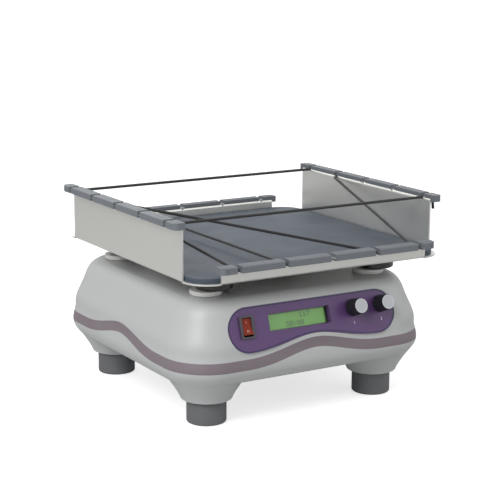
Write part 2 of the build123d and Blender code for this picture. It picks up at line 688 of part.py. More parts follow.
# Crankshaft, driven pulley and counterweight
crank = rod(SHAFT_R, deck + 3, DISC_Z) + rod(CRANK_DISC_R, DISC_Z, DISC_TOP)
drive_seat = HUB_Z + 1.2
crank += rod(SHAFT_R + 2, DISC_TOP, drive_seat - THRUST_GAP, THROW)
crank += rod(SHAFT_R, DISC_TOP, drive_seat + DRIVE_BEARING_T + 0.4, THROW)
put(crank, "drive_shaft")
pulley = rod(PULLEY_R, pulley_z, pulley_top) + rod(SHAFT_R + 4, POST_TOP + THRUST_GAP, pulley_top)
pulley -= rod(SHAFT_R, POST_TOP - 1, pulley_top + 1)
for at in PolarLocations((PULLEY_R + SHAFT_R + 4) / 2, 5):
    pulley -= at * Pos(0, 0, pulley_z) * Cylinder(SPOKE_HOLE_R, 3 * PULLEY_H)
put(pulley, "driven_pulley")
away = Rot(0, 0, REST_PHASE) * Pos(-WEIGHT_R, 0) * Rectangle(2 * WEIGHT_R, 2 * WEIGHT_R)
weight_z = pulley_top + 2
wedge = (Circle(WEIGHT_R) & away) + Circle(SHAFT_R + 7) - Circle(SHAFT_R)
weight = extrude(Pos(0, 0, weight_z) * wedge, WEIGHT_T)
weight += tube(SHAFT_R + 4, SHAFT_R, pulley_top, weight_z)
put(weight, "counterweight")

# Idler cranks: plastic disc, steel spindle below and pin above, set off by the same throw
idler_seat = HUB_Z + 1.2
pin_top = idler_seat + IDLER_BEARING_T + 0.4
for name, (x, y) in zip(CORNERS, IDLER_XY):
    pin_at = (x + THROW[0], y + THROW[1])
    disc = rod(DISC_R, DISC_Z, DISC_TOP, (x, y))
    disc = fillet(disc.edges(), 0.6)
    disc -= rod(IDLER_SHAFT_R, DISC_Z - 1, DISC_TOP - 0.8, (x, y))
    disc -= rod(IDLER_SHAFT_R, DISC_Z + 0.8, DISC_TOP + 1, pin_at)
    put(disc, f"idler_disc_{name}")
    spindle = rod(IDLER_SHAFT_R, deck + 3, DISC_TOP - 0.8, (x, y))
    spindle += rod(IDLER_SHAFT_R + 1.5, upper_seat + IDLER_BEARING_T + THRUST_GAP, DISC_Z, (x, y))
    pin = rod(IDLER_SHAFT_R, DISC_Z + 0.8, pin_top, pin_at)
    pin += rod(IDLER_SHAFT_R + 1.5, DISC_TOP, idler_seat - THRUST_GAP, pin_at)
    put(group([spindle, pin]), f"idler_shaft_{name}")

# Power supply board on four standoffs
board_z = deck + SUPPLY_LIFT
supply = block(SUPPLY_W, SUPPLY_D, board_z, board_z + BOARD_T, (SUPPLY_X, SUPPLY_Y))
stand = []
for sx in (-1, 1):
    for sy in (-1, 1):
        at = (
            SUPPLY_X + sx * (SUPPLY_W / 2 - SUPPLY_INSET),
            SUPPLY_Y + sy * (SUPPLY_D / 2 - SUPPLY_INSET),
        )
        supply -= rod(M3_R, board_z - 1, board_z + 3, at)
        plate -= rod(M3_R, PLATE_Z - 1, deck + 1, at)
        stand.append(tube(2 * M3_R + 0.2, M3_R, deck, board_z, at))
        fix.append(m3_screw(board_z + BOARD_T, at))
top = board_z + BOARD_T
core = block(CORE_W, CORE_D, top, top + CORE_H, CORE_AT)
core += block(CORE_W - 12, CORE_D + 8, top + 3, top + CORE_H - 3, CORE_AT)
cans = [rod(CAN_R, top, top + 20, (CAN_X, y)) for y in CAN_Y]
fins = block(4, 40, top, top + FIN_H, (FIN_X, FIN_Y))
for i in range(5):
    fins += block(8, 1.5, top, top + FIN_H, (FIN_X + 5, FIN_Y + 8 * (i - 2)))
relays = [block(16, 12, top, top + 14, (RELAY_X, y)) for y in RELAY_Y]
strip = block(26, 8, top, top + 9, STRIP_AT)
put(group([supply, core, fins, strip] + stand + cans + relays), "power_board")
put(plate, "chassis_plate")
put(group(fix + screws), "chassis_screws")

# Mains inlet: flanged socket with three blades
inlet_line = Polyline(
    (-SOCKET_W / 2, -SOCKET_H / 2),
    (SOCKET_W / 2, -SOCKET_H / 2),
    (SOCKET_W / 2, SOCKET_H / 2 - SOCKET_CUT),
    (SOCKET_W / 2 - SOCKET_CUT, SOCKET_H / 2),
    (-SOCKET_W / 2 + SOCKET_CUT, SOCKET_H / 2),
    (-SOCKET_W / 2, SOCKET_H / 2 - SOCKET_CUT),
    (-SOCKET_W / 2, -SOCKET_H / 2),
)
rear = Plane(origin=(0, INLET_FACE, INLET_Z), x_dir=(-1, 0, 0), z_dir=(0, 1, 0))
inlet = extrude(rear * RectangleRounded(INLET_W, INLET_H, INLET_R), INLET_T)
shroud = Rectangle(SOCKET_W + 2 * SOCKET_WALL, SOCKET_H + 2 * SOCKET_WALL)
inlet += extrude(rear.offset(-SOCKET_D - 1) * shroud, SOCKET_D + 1)
inlet -= extrude(rear.offset(INLET_T - SOCKET_D) * make_face(inlet_line), SOCKET_D + 1)
pins = []
for x, v in PINS:
    pins.append(extrude(rear.offset(-SOCKET_D - 8) * Pos(x, v) * Rectangle(PIN_W, PIN_H), SOCKET_D + 6))
    inlet -= pins[-1]
for x in (-INLET_SCREW_X, INLET_SCREW_X):
    spot = rear * Pos(x, 0)
    inlet -= spot * Cylinder(M3_R, 20)
    screw = spot * Pos(0, 0, INLET_T) * Cylinder(2.8, 1.8, align=(Align.CENTER, Align.CENTER, Align.MIN))
    screw += spot * Pos(0, 0, -5) * Cylinder(M3_R, 8, align=(Align.CENTER, Align.CENTER, Align.MIN))
    case_screws.append(screw)
put(inlet, "inlet_body")
put(group(pins), "inlet_pins")
put(group(case_screws), "case_screws")

# Everything from here is the platform, drawn about its own centre and set off by the throw
aboard = Pos(THROW[0], THROW[1], 0)
TURNS = (0, 90, 180, 270)


# One edge of the tray in section: floor, bend, wall, bend, outward flange
def wall_face(top):
    under = FilletPolyline(
        (TRAY_HALF - 20, TRAY_Z),
        (TRAY_HALF, TRAY_Z),
        (TRAY_HALF, top - SHEET),
        (TRAY_HALF + FLANGE_W, top - SHEET),
        radius=(BEND_R + SHEET, BEND_R),
    )
    over = FilletPolyline(
        (TRAY_HALF - 20, TRAY_Z + SHEET),
        (TRAY_HALF - SHEET, TRAY_Z + SHEET),
        (TRAY_HALF - SHEET, top),
        (TRAY_HALF + FLANGE_W, top),
        radius=(BEND_R, BEND_R + SHEET),
    )
    ends = [Line(under @ 0, over @ 0), Line(under @ 1, over @ 1)]
    return make_face(under.edges() + over.edges() + ends)


# A C-shaped edging strip in section, open towards the tray
def edging_face(top):
    tip = TRAY_HALF + FLANGE_W
    back = tip + EDGE_OVER
    root = TRAY_HALF - SHEET / 2
    mouth = TRAY_HALF + BEND_R + 1
    low = top - SHEET - EDGE_FIT
    crown = top + EDGE_CROWN
    face = make_face(
        Polyline(
            (root, top),
            (tip + EDGE_FIT, top),
            (tip + EDGE_FIT, low),
            (mouth, low),
            (mouth, low - EDGE_LIP),
            (back, low - EDGE_LIP),
            (back, crown),
            (root, crown),
            (root, top),
        )
    )
    rounded = face.vertices().filter_by(lambda v: v.X > back - 0.1 or v.Y > crown - 0.1)
    return fillet(rounded, 0.8)


# Tray sheet with a low wall front and back, a high wall either side, and a slot at every notch
tray = slab(TRAY_HALF, TRAY_CORNER_R, TRAY_Z, TRAY_Z + SHEET)
for turn in TURNS:
    tray -= Rot(0, 0, turn) * block(20, 2 * WALL_END, TRAY_Z - 5, TRAY_Z + 5, (TRAY_HALF, 0))
edging = []
for turn, top in zip(TURNS, (SIDE_TOP, FRONT_TOP, SIDE_TOP, FRONT_TOP)):
    side = extrude(Plane.XZ.offset(-WALL_END) * wall_face(top), 2 * WALL_END)
    axis_z = top - SLOT_DROP
    for y in NOTCHES:
        side -= block(FLANGE_W + 5, NOTCH_W, top - 6, top + 2, (TRAY_HALF + 0.1 + (FLANGE_W + 5) / 2, y))
        side -= block(20, SLOT_W, axis_z, top + 2, (TRAY_HALF, y))
        side -= Pos(TRAY_HALF, y, axis_z) * Rot(0, 90, 0) * Cylinder(SLOT_W / 2, 20)
    tray += Rot(0, 0, turn) * side
    section = Plane.XZ * edging_face(top)
    for y in NOTCHES[:-1]:
        strip = Pos(0, y + NOTCH_W / 2, 0) * extrude(section, NOTCH_W - NOTCH_PITCH)
        edging.append(Rot(0, 0, turn) * strip)
    start = NOTCHES[-1] + NOTCH_W / 2
    back = TRAY_HALF + FLANGE_W + EDGE_OVER
    end = Pos(0, start, 0) * extrude(section, start - EDGE_END)
    cap_w = FLANGE_W + SHEET / 2 + EDGE_FIT
    cap_d = EDGE_END - WALL_END - EDGE_FIT
    cap_at = (TRAY_HALF - SHEET / 2 + cap_w / 2, EDGE_END - cap_d / 2)
    end += block(cap_w, cap_d, top - SHEET - EDGE_FIT - EDGE_LIP, top, cap_at)
    end &= slab(150, 6, top - 20, top + 20, (back - 150, EDGE_END - 150))
    edging += [Rot(0, 0, turn) * end, Rot(0, 0, turn) * mirror(end, Plane.XZ)]
put(aboard * group(edging), "edging")

# Hubs under the tray, their bearings and the countersunk screws
corner_hubs = []
ride = []
tray_screws = []
for x, y in IDLER_XY:
    hub = chamfer(rod(HUB_R, HUB_Z, TRAY_Z, (x, y)).edges().sort_by(Axis.Z)[0], 0.8)
    hub -= rod(IDLER_BEARING_R, HUB_Z - 1, idler_seat + IDLER_BEARING_T, (x, y))
    hub -= rod(IDLER_BEARING_R - 2, HUB_Z - 1, pin_top + 1.5, (x, y))
    corner_hubs.append(hub)
    bearing = tube(IDLER_BEARING_R, IDLER_SHAFT_R + RUN_FIT, idler_seat, idler_seat + IDLER_BEARING_T, (x, y))
    ride.append(bearing)
drive_hub = chamfer(rod(DRIVE_HUB_R, HUB_Z, TRAY_Z).edges().sort_by(Axis.Z)[0], 0.8)
drive_hub -= rod(DRIVE_BEARING_R, HUB_Z - 1, drive_seat + DRIVE_BEARING_T)
drive_hub -= rod(DRIVE_BEARING_R - 3, HUB_Z - 1, drive_seat + DRIVE_BEARING_T + 1.5)
ride.append(tube(DRIVE_BEARING_R, SHAFT_R + RUN_FIT, drive_seat, drive_seat + DRIVE_BEARING_T))
SCREW_XY = [(x + dx, y) for x, y in IDLER_XY for dx in (-12.5, 12.5)]
SCREW_XY += [(dx, dy) for dx in (-14.5, 14.5) for dy in (-14.5, 14.5)]
for at in SCREW_XY:
    screw = rod(M4_R, HUB_Z + 5, TRAY_Z + SHEET, at)
    screw += Pos(at[0], at[1], TRAY_Z + SHEET / 2) * Cone(M4_R, M4_R + SHEET, SHEET)
    tray_screws.append(screw)
    tray -= screw
    drive_hub -= screw
for i, hub in enumerate(corner_hubs):
    corner_hubs[i] = hub - tray_screws[2 * i] - tray_screws[2 * i + 1]
put(aboard * tray, "tray")
put(aboard * group(corner_hubs), "corner_hubs")
put(aboard * drive_hub, "drive_hub")
put(aboard * group(ride), "platform_bearings")
put(aboard * group(tray_screws), "tray_screws")
mat = slab(TRAY_HALF - SHEET - MAT_GAP, TRAY_CORNER_R - MAT_GAP, TRAY_Z + SHEET, MAT_Z)
put(aboard * mat, "mat")

# Elastic cord strands: (wall, notch) to (wall, notch), each knotted outside both walls
WALLS = {"F": (0, -1, FRONT_TOP), "B": (0, 1, FRONT_TOP), "L": (-1, 0, SIDE_TOP), "R": (1, 0, SIDE_TOP)}


# Point on the cord axis at a notch, some way outside (or inside) the wall's outer face
def at_notch(spot, out):
    nx, ny, top = WALLS[spot[0]]
    along = NOTCHES[spot[1]]
    reach = TRAY_HALF + out
    return Vector(nx * reach + ny * ny * along, ny * reach + nx * nx * along, top - SLOT_DROP)


def knot(spot):
    nx, ny, top = WALLS[spot[0]]
    seat = Plane(origin=at_notch(spot, 0.1 + KNOT_L / 2), z_dir=(nx, ny, 0))
    return seat * fillet(Cylinder(KNOT_R, KNOT_L).edges().filter_by(GeomType.CIRCLE), 1.2)


cords = []
for first, last in STRANDS:
    straight = first[1] == last[1] and (first[0] + last[0]) in ("LR", "FB")
    points = [at_notch(first, KNOT_L + 2)]
    if not straight:
        points += [at_notch(first, -SHEET - CORD_BEND), at_notch(last, -SHEET - CORD_BEND)]
    points.append(at_notch(last, KNOT_L + 2))
    if last == ("R", 0):
        points[-1] = at_notch(last, FLANGE_W + EDGE_OVER + CORD_BEND)
        points.append(points[-1] - Vector(0, 0, TAIL_DROP))
    route = FilletPolyline(*points, radius=CORD_BEND) if len(points) > 2 else Line(*points)
    cord = sweep(Plane(origin=route @ 0, z_dir=route % 0) * Circle(CORD_R), path=route)
    cords.append(cord + knot(first) + knot(last))
put(aboard * group(cords), "bungee_cords")
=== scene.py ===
"""Orbital shaker: finishes, cords, edging strips, mat, display characters, marks and studio."""

import json
import math

import bpy
import numpy as np
from bpy.props import FloatProperty, FloatVectorProperty, IntProperty, PointerProperty, StringProperty
from mathutils import Matrix, Vector


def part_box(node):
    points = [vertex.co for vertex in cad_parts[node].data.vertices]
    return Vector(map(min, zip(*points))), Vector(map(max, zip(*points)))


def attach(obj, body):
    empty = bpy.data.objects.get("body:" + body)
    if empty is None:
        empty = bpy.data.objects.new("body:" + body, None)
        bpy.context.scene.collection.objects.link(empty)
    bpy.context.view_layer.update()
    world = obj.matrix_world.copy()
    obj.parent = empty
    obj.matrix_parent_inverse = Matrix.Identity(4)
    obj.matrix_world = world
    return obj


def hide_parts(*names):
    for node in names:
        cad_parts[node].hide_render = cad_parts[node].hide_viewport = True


bl_info = {
    "name": "Orbital shaker dressing",
    "version": (1, 0, 0),
    "blender": (4, 5, 0),
    "location": "View3D > Sidebar > Shaker",
    "description": "Finishes and fine pieces of a bench orbital shaker",
    "category": "Object",
}

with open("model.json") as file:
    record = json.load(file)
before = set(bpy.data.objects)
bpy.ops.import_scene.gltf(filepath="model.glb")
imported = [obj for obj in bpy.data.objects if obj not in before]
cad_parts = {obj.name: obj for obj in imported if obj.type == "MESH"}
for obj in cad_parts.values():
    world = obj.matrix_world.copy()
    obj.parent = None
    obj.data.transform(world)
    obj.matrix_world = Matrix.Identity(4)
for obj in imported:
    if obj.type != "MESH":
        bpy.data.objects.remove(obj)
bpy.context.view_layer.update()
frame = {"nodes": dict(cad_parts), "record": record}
MM = 0.001


def linear(red, green, blue):
    """Linear colour of an sRGB one given as three numbers from 0 to 255."""
    steps = (np.array([red, green, blue]) / 255.0 + 0.055) / 1.055
    return tuple(float(x) for x in steps**2.4)


def tint(name, words, colour):
    """A colour property."""
    return FloatVectorProperty(
        name=name, description=words, default=colour, subtype="COLOR", size=3, min=0.0, max=1.0
    )


def length(name, words, millimetres):
    """A length property, given in millimetres and kept in metres."""
    return FloatProperty(
        name=name, description=words, default=millimetres * MM, min=0.0, unit="LENGTH", precision=5
    )


class ShakerColours(bpy.types.PropertyGroup):
    """Colours of the visible pieces"""

    housing: tint("Housing", "Moulded case shells", linear(188, 190, 190))
    band: tint("Band", "Trim band round the case", linear(126, 115, 122))
    panel: tint("Panel", "Overlay of the control panel", linear(85, 56, 106))
    # The rim is painted shade: a dark band along the panel's edge standing in for the shadow in the gap
    # round the panel
    rim: tint("Rim", "Dark border of the control panel", linear(46, 29, 80))
    foot: tint("Feet", "Moulded feet", linear(106, 107, 110))
    metal: tint("Tray", "Brushed tray sheet", linear(226, 226, 222))
    edging: tint("Edging", "Edging strips on the tray walls", linear(110, 115, 121))
    mat: tint("Mat", "Rubber mat", linear(66, 75, 88))
    cord: tint("Cord", "Elastic cord", linear(26, 26, 28))
    disc: tint("Discs", "Plastic crank discs", linear(236, 236, 233))
    hub: tint("Hubs", "Bearing hubs under the tray", linear(24, 24, 26))
    knob: tint("Knobs", "Fluted knob skirts", linear(27, 27, 30))
    cap: tint("Caps", "Knob caps", linear(203, 205, 209))
    # The cap middles are painted shade: a darker disc on the dished middle of each knob cap, where the
    # hollow catches less light
    dish_shade: tint("Cap middles", "Dished middle of the knob caps", linear(186, 189, 194))
    rocker: tint("Rocker", "Translucent rocker", linear(128, 38, 14))
    bezel: tint("Bezel", "Frame of the rocker switch", linear(70, 66, 72))
    display: tint("Display", "Lit ground of the display", linear(102, 158, 72))
    character: tint("Characters", "Dark display characters", linear(12, 44, 46))
    marks: tint("Marks", "Printed marks", linear(226, 226, 232))
    floor: tint("Floor", "Studio floor", linear(212, 212, 212))
    symbol: tint("Symbols", "Marks on the rocker", linear(226, 170, 150))


class ShakerSizes(bpy.types.PropertyGroup):
    """Sizes of the fine pieces"""

    cord_radius: length("Cord radius", "Half the thickness of the elastic cord", 1.45)
    strand_lead: length("Strand lead", "Straight stretch of cord next to each notch", 17.0)
    groove: length("Groove", "Depth of the lengthwise grooves in the edging", 0.28)
    mat_edge: length("Mat edge", "Rounding of the mat's upper edge", 1.1)
    dot: length("Dot", "Width of one dot of the display", 0.66)
    # The rim's width is that of the band of painted shade along the panel's edge
    rim: length("Rim", "Width of the panel's printed border", 1.5)
    mark: length("Mark", "Height of the numerals under the knobs", 3.0)
    grooves: IntProperty(
        name="Grooves", description="Grooves on the top of a strip", default=3, min=0, max=8
    )
    upper_line: StringProperty(
        name="Upper line", description="Numerals on the upper display line", default="117"
    )
    lower_line: StringProperty(
        name="Lower line", description="Numerals on the lower display line", default="30:00"
    )
    lamp: FloatProperty(
        name="Lamp", description="Power of the main lamp", default=19.0, min=0.0, unit="POWER"
    )
    sky: FloatProperty(name="Sky", description="Strength of the even light", default=0.4, min=0.0)


# Places read from the frame
TRAY_LOW, TRAY_HIGH = (Vector(corner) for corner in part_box("tray"))
EDGE_LOW, EDGE_HIGH = (Vector(corner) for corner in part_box("edging"))
MAT_LOW, MAT_HIGH = (Vector(corner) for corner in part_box("mat"))
CENTRE = (MAT_LOW + MAT_HIGH) / 2
JOINTS = {joint["name"]: joint for joint in frame["record"]["behaviour"]["joints"]}
OUT = Vector(JOINTS["time_turn"]["axis"])
RIGHT = Vector((1.0, 0.0, 0.0))
UP = OUT.cross(RIGHT)

# Panel, knob caps and display, as in the part; where the numerals stand, and the numerals' share of
# their letter size
PANEL_W = 186.4 * MM
PANEL_H = 42.4 * MM
PANEL_V = -0.6 * MM
PANEL_DIP = 9.8 * MM
PANEL_T = 1.2 * MM
KNOB_AT = (45.6 * MM, 5.8 * MM)
CAP_FLOOR = 17.3 * MM
CAP_DISH_R = 5.7 * MM
NUMERAL_DROP = 14.8 * MM
NUMERAL_SHARE = 0.7
LCD_FACE = 2.02 * MM
UPPER_AT = (4.0 * MM, 5.9 * MM)
LOWER_AT = (-12.0 * MM, -1.4 * MM)
PRINT_GAP = 0.03 * MM

# Rocker, as in the part: its tilt at rest, its crest over the pivot and the slope of each half
ROCKER_TILT = math.radians(10.0)
ROCKER_CREST = 2.3 * MM
ROCKER_SLOPE = math.atan2(1.3, 7.9)
ROCKER_MARK_AT = 4.2 * MM

# Screws that show a driver recess, drawn as a flat cross of painted shade: heads under the case and
# beside the inlet
SCREW_HEAD_R = 3.6 * MM
CASE_SCREW_Y = 38.0 * MM
INLET_SCREW_X = 20.0 * MM
RECESS_SIZE = 4.2 * MM
RECESS_W = 1.0 * MM
RECESS_GAP = 0.04 * MM

# Tray details, as in the part
FLANGE_W = 9.0 * MM
TRAY_HALF = (TRAY_HIGH.x - TRAY_LOW.x) / 2 - FLANGE_W
SHEET = 1.5 * MM
SIDE_TOP = TRAY_HIGH.z
FRONT_TOP = TRAY_LOW.z + 14.6 * MM
WALL_END = 114.5 * MM
NOTCH_PITCH = 50.5 * MM
NOTCH_W = 5.2 * MM
NOTCHES = [i * NOTCH_PITCH for i in (-2, -1, 0, 1, 2)]
WALLS = {
    "F": (0, -1, FRONT_TOP),
    "B": (0, 1, FRONT_TOP),
    "L": (-1, 0, SIDE_TOP),
    "R": (1, 0, SIDE_TOP),
}

# Edging strips: end, fit and reach on the flange, crown, lip, rounded edges, slot, corner and the flat
# lands before and behind the grooves
EDGE_END = 120.0 * MM
EDGE_FIT = 0.05 * MM
EDGE_REACH = (EDGE_HIGH.x - EDGE_LOW.x) / 2 - TRAY_HALF
EDGE_CROWN = EDGE_HIGH.z - SIDE_TOP
EDGE_LIP = 1.7 * MM
EDGE_BEND = 1.4 * MM
EDGE_HEEL = 0.8 * MM
EDGE_MOUTH = 2.5 * MM
EDGE_CORNER = 6.0 * MM
EDGE_LANDS = (0.9 * MM, 0.6 * MM)

# Mat: its corners, and the small bevel under its edge
MAT_R = 24.3 * MM
MAT_BEVEL = 0.35 * MM

# Cords: depth in the notch, bend, ends and tail as in the part; a knot is a tube along a trefoil
SLOT_DROP = 0.7 * MM
CORD_BEND = 3.0 * MM
CORD_SIDES = 14
KNOT_L = 5.0 * MM
KNOT_SIZE = 0.45 * MM
KNOT_REACH = 1.3 * MM
KNOT_R = 1.05 * MM
KNOT_STEPS = 49
KNOT_SIDES = 10
KNOT_STEP = 0.4 * MM
CORD_END = KNOT_L + 2 * MM
TAIL_DROP = 13.0 * MM

# Strands as pairs of notches, each a wall and the notch's number on it
STRANDS = (
    (("L", 0), ("R", 0)),
    (("F", 0), ("L", 3)),
    (("F", 1), ("B", 1)),
    (("F", 3), ("L", 2)),
    (("F", 4), ("R", 3)),
    (("L", 4), ("R", 4)),
)

# Studio: floor; lamps as (name, place, height they aim at, share of the main power, width); camera
# with its focal length in pixels, its bearing, height and roll in degrees, and its place
FLOOR_R = 40.0
FLOOR_DROP = 0.2 * MM
FLOOR_GLOW = 0.68
LAMPS = (
    ("lamp_key", (-1.35, -0.75, 1.15), 0.1, 1.0, 0.8),
    ("lamp_fill", (1.5, -0.9, 1.0), 0.1, 0.35, 1.2),
    ("lamp_rear", (0.2, 1.4, 1.3), 0.15, 0.4, 1.0),
)
FOCAL_PX = 1476.34
PICTURE_PX = 500.0
CAMERA_TURN = (-31.40, 12.04, 0.37)
CAMERA_AT = (-0.7525, -1.2490, 0.4505)


def mesh_object(name, points, faces, material, body, smooth=True):
    """A mesh object from arrays of points and faces, with its finish, riding on a body."""
    mesh = bpy.data.meshes.new(name)
    mesh.from_pydata(np.asarray(points, dtype=float).tolist(), [], [list(map(int, f)) for f in faces])
    mesh.update()
    mesh.polygons.foreach_set("use_smooth", np.full(len(mesh.polygons), smooth))
    mesh.materials.append(material)
    made = bpy.data.objects.new(name, mesh)
    bpy.context.scene.collection.objects.link(made)
    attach(made, body)
    return made


def ring_faces(rows, columns, first=0, closed=True):
    """Quads between neighbouring rows of a grid; the last column joins the first where closed."""
    r = np.arange(rows - 1)[:, None]
    c = np.arange(columns if closed else columns - 1)[None, :]
    d = (c + 1) % columns
    near, far = r * columns, (r + 1) * columns
    quads = np.stack([near + c, near + d, far + d, far + c], axis=-1)
    return quads.reshape(-1, 4) + first


def join_meshes(parts):
    """Points and faces of several (points, faces) pairs as one pair."""
    points, faces, first = [], [], 0
    for some, polygons in parts:
        points.append(np.asarray(some, dtype=float))
        faces += [[int(i) + first for i in polygon] for polygon in polygons]
        first += len(some)
    return np.concatenate(points), faces


def tube_grid(path, radius, sides):
    """Circle of that radius carried along the path: P(s, t) = path(s) + r (cos t n(s) + sin t b(s)).

    The normal n is turned as little as possible from one point of the path to the next.
    """
    path = np.asarray(path, dtype=float)
    tangent = np.gradient(path, axis=0)
    tangent /= np.linalg.norm(tangent, axis=1)[:, None]
    normal = np.cross(tangent[0], (0.13, 0.27, 0.95))
    normals = np.empty_like(path)
    for i, direction in enumerate(tangent):
        normal = normal - direction * np.dot(normal, direction)
        normal = normal / np.linalg.norm(normal)
        normals[i] = normal
    across = np.cross(tangent, normals)
    angle = np.linspace(0, 2 * np.pi, sides, endpoint=False)[None, :, None]
    circle = np.cos(angle) * normals[:, None, :] + np.sin(angle) * across[:, None, :]
    return (path[:, None, :] + radius * circle).reshape(-1, 3)


def evaluated(curve):
    """Points and faces of a curve or letter as Blender evaluates it; the curve is removed."""
    holder = bpy.data.objects.new(curve.name, curve)
    bpy.context.scene.collection.objects.link(holder)
    bpy.context.view_layer.update()
    mesh = bpy.data.meshes.new_from_object(holder)
    points = np.empty(len(mesh.vertices) * 3)
    mesh.vertices.foreach_get("co", points)
    faces = [list(polygon.vertices) for polygon in mesh.polygons]
    bpy.data.meshes.remove(mesh)
    bpy.data.objects.remove(holder)
    bpy.data.curves.remove(curve)
    return points.reshape(-1, 3), faces


def spline_path(points):
    """Points along an order 3 NURBS spline whose control points are the route's own."""
    curve = bpy.data.curves.new("route", "CURVE")
    curve.dimensions = "3D"
    curve.resolution_u = 14
    spline = curve.splines.new("NURBS")
    spline.points.add(len(points) - 1)
    spline.points.foreach_set("co", np.c_[np.array(points), np.ones(len(points))].ravel())
    spline.order_u = 3
    spline.use_endpoint_u = True
    path, _ = evaluated(curve)
    apart = np.linalg.norm(np.diff(path, axis=0), axis=1) > 1e-6
    return path[np.r_[True, apart]]


# Shader helpers


def add(tree, kind, values=None, **settings):
    """A shader node with its settings, and its inputs set to values or linked from sockets."""
    made = tree.nodes.new(kind)
    for key, value in settings.items():
        setattr(made, key, value)
    for key, value in (values or {}).items():
        if isinstance(value, bpy.types.NodeSocket):
            tree.links.new(value, made.inputs[key])
        else:
            made.inputs[key].default_value = value
    return made


def new_group(name, inputs, outputs):
    """An empty node group with those sockets; returns the tree, its input node and its output node."""
    tree = bpy.data.node_groups.new(name, "ShaderNodeTree")
    for label, kind, default in inputs:
        socket = tree.interface.new_socket(label, in_out="INPUT", socket_type=kind)
        if default is not None:
            socket.default_value = default
    for label, kind in outputs:
        tree.interface.new_socket(label, in_out="OUTPUT", socket_type=kind)
    return tree, tree.nodes.new("NodeGroupInput"), tree.nodes.new("NodeGroupOutput")


def grain_group():
    """Fine moulded grain: two noises of different size added, stretched along an axis if asked."""
    if "Shaker grain" in bpy.data.node_groups:
        return bpy.data.node_groups["Shaker grain"]
    tree, start, end = new_group(
        "Shaker grain",
        [
            ("Vector", "NodeSocketVector", None),
            ("Scale", "NodeSocketFloat", 900.0),
            ("Stretch", "NodeSocketVector", (1.0, 1.0, 1.0)),
            ("Coarse", "NodeSocketFloat", 0.35),
        ],
        [("Height", "NodeSocketFloat")],
    )
    vector, scale, stretch, coarse = (start.outputs[i] for i in range(4))
    place = add(tree, "ShaderNodeVectorMath", {0: vector, 1: stretch}, operation="MULTIPLY")
    wide = add(tree, "ShaderNodeMath", {0: scale, 1: 0.22}, operation="MULTIPLY")
    fine, broad = (
        add(tree, "ShaderNodeTexNoise", {"Vector": place.outputs[0], "Scale": cells, "Detail": 2.0})
        for cells in (scale, wide.outputs[0])
    )
    mix = add(tree, "ShaderNodeMix", {0: coarse, 2: fine.outputs[0], 3: broad.outputs[0]})
    tree.links.new(mix.outputs[0], end.inputs[0])
    return tree


def wear_group():
    """Handling: a slow noise varies the roughness between two values and darkens the colour a little."""
    if "Shaker handling" in bpy.data.node_groups:
        return bpy.data.node_groups["Shaker handling"]
    tree, start, end = new_group(
        "Shaker handling",
        [
            ("Vector", "NodeSocketVector", None),
            ("Color", "NodeSocketColor", (0.5, 0.5, 0.5, 1.0)),
            ("Scale", "NodeSocketFloat", 18.0),
            ("Smooth", "NodeSocketFloat", 0.4),
            ("Rough", "NodeSocketFloat", 0.55),
            ("Darken", "NodeSocketFloat", 0.06),
        ],
        [("Color", "NodeSocketColor"), ("Roughness", "NodeSocketFloat")],
    )
    vector, colour, cells, smooth, rough, darken = (start.outputs[i] for i in range(6))
    noise = {"Vector": vector, "Scale": cells, "Detail": 5.0, "Roughness": 0.6}
    patch = add(tree, "ShaderNodeTexNoise", noise)
    span = {"From Min": 0.3, "From Max": 0.7, "To Min": smooth, "To Max": rough}
    spread = add(tree, "ShaderNodeMapRange", {"Value": patch.outputs[0], **span})
    keep = add(tree, "ShaderNodeMath", {0: patch.outputs[0], 1: darken}, operation="MULTIPLY")
    level = add(tree, "ShaderNodeMath", {0: 1.0, 1: keep.outputs[0]}, operation="SUBTRACT")
    shade = add(tree, "ShaderNodeVectorMath", {0: colour, "Scale": level.outputs[0]}, operation="SCALE")
    tree.links.new(shade.outputs[0], end.inputs[0])
    tree.links.new(spread.outputs[0], end.inputs[1])
    return tree


def finish(name, colour, smooth, rough, grain=900.0, bump=0.15, depth=0.05, **more):
    """A finish with handling in its colour and roughness and a grain in its bump.

    smooth and rough bound the roughness, grain is the size of the grain in cells a metre, bump is its
    strength, depth its height in millimetres, stretch scales the grain along each axis, patch is the
    size of the handling in cells a metre, darken its share, and the rest sets sockets of the shader.
    """
    stretch = more.pop("stretch", (1.0, 1.0, 1.0))
    patch = more.pop("patch", 18.0)
    darken = more.pop("darken", 0.06)
    material = bpy.data.materials.new(name)
    material.use_nodes = True
    tree = material.node_tree
    shader = tree.nodes["Principled BSDF"]
    place = add(tree, "ShaderNodeTexCoord").outputs["Object"]
    handling = add(tree, "ShaderNodeGroup", node_tree=wear_group())
    for key, value in (("Scale", patch), ("Smooth", smooth), ("Rough", rough), ("Darken", darken)):
        handling.inputs[key].default_value = value
    if isinstance(colour, bpy.types.NodeSocket):
        tree.links.new(colour, handling.inputs["Color"])
    else:
        handling.inputs["Color"].default_value = (*colour, 1.0)
    tree.links.new(place, handling.inputs["Vector"])
    texture = add(tree, "ShaderNodeGroup", node_tree=grain_group())
    texture.inputs["Scale"].default_value = grain
    texture.inputs["Stretch"].default_value = stretch
    tree.links.new(place, texture.inputs["Vector"])
    height = {"Height": texture.outputs[0], "Strength": bump, "Distance": depth * MM}
    relief = add(tree, "ShaderNodeBump", height)
    tree.links.new(handling.outputs[0], shader.inputs["Base Color"])
    tree.links.new(handling.outputs[1], shader.inputs["Roughness"])
    tree.links.new(relief.outputs[0], shader.inputs["Normal"])
    for key, value in more.items():
        shader.inputs[key.replace("_", " ").title().replace("Ior", "IOR")].default_value = value
    return material


def metal(name, colour, smooth, rough, stretch=(1.0, 1.0, 1.0), grain=260.0, bump=0.1):
    """A metal finish: fine grain in its bump, drawn out along the axes that the stretch shortens."""
    more = {"depth": 0.03, "stretch": stretch, "metallic": 1.0, "darken": 0.1}
    return finish(name, colour, smooth, rough, grain=grain, bump=bump, **more)


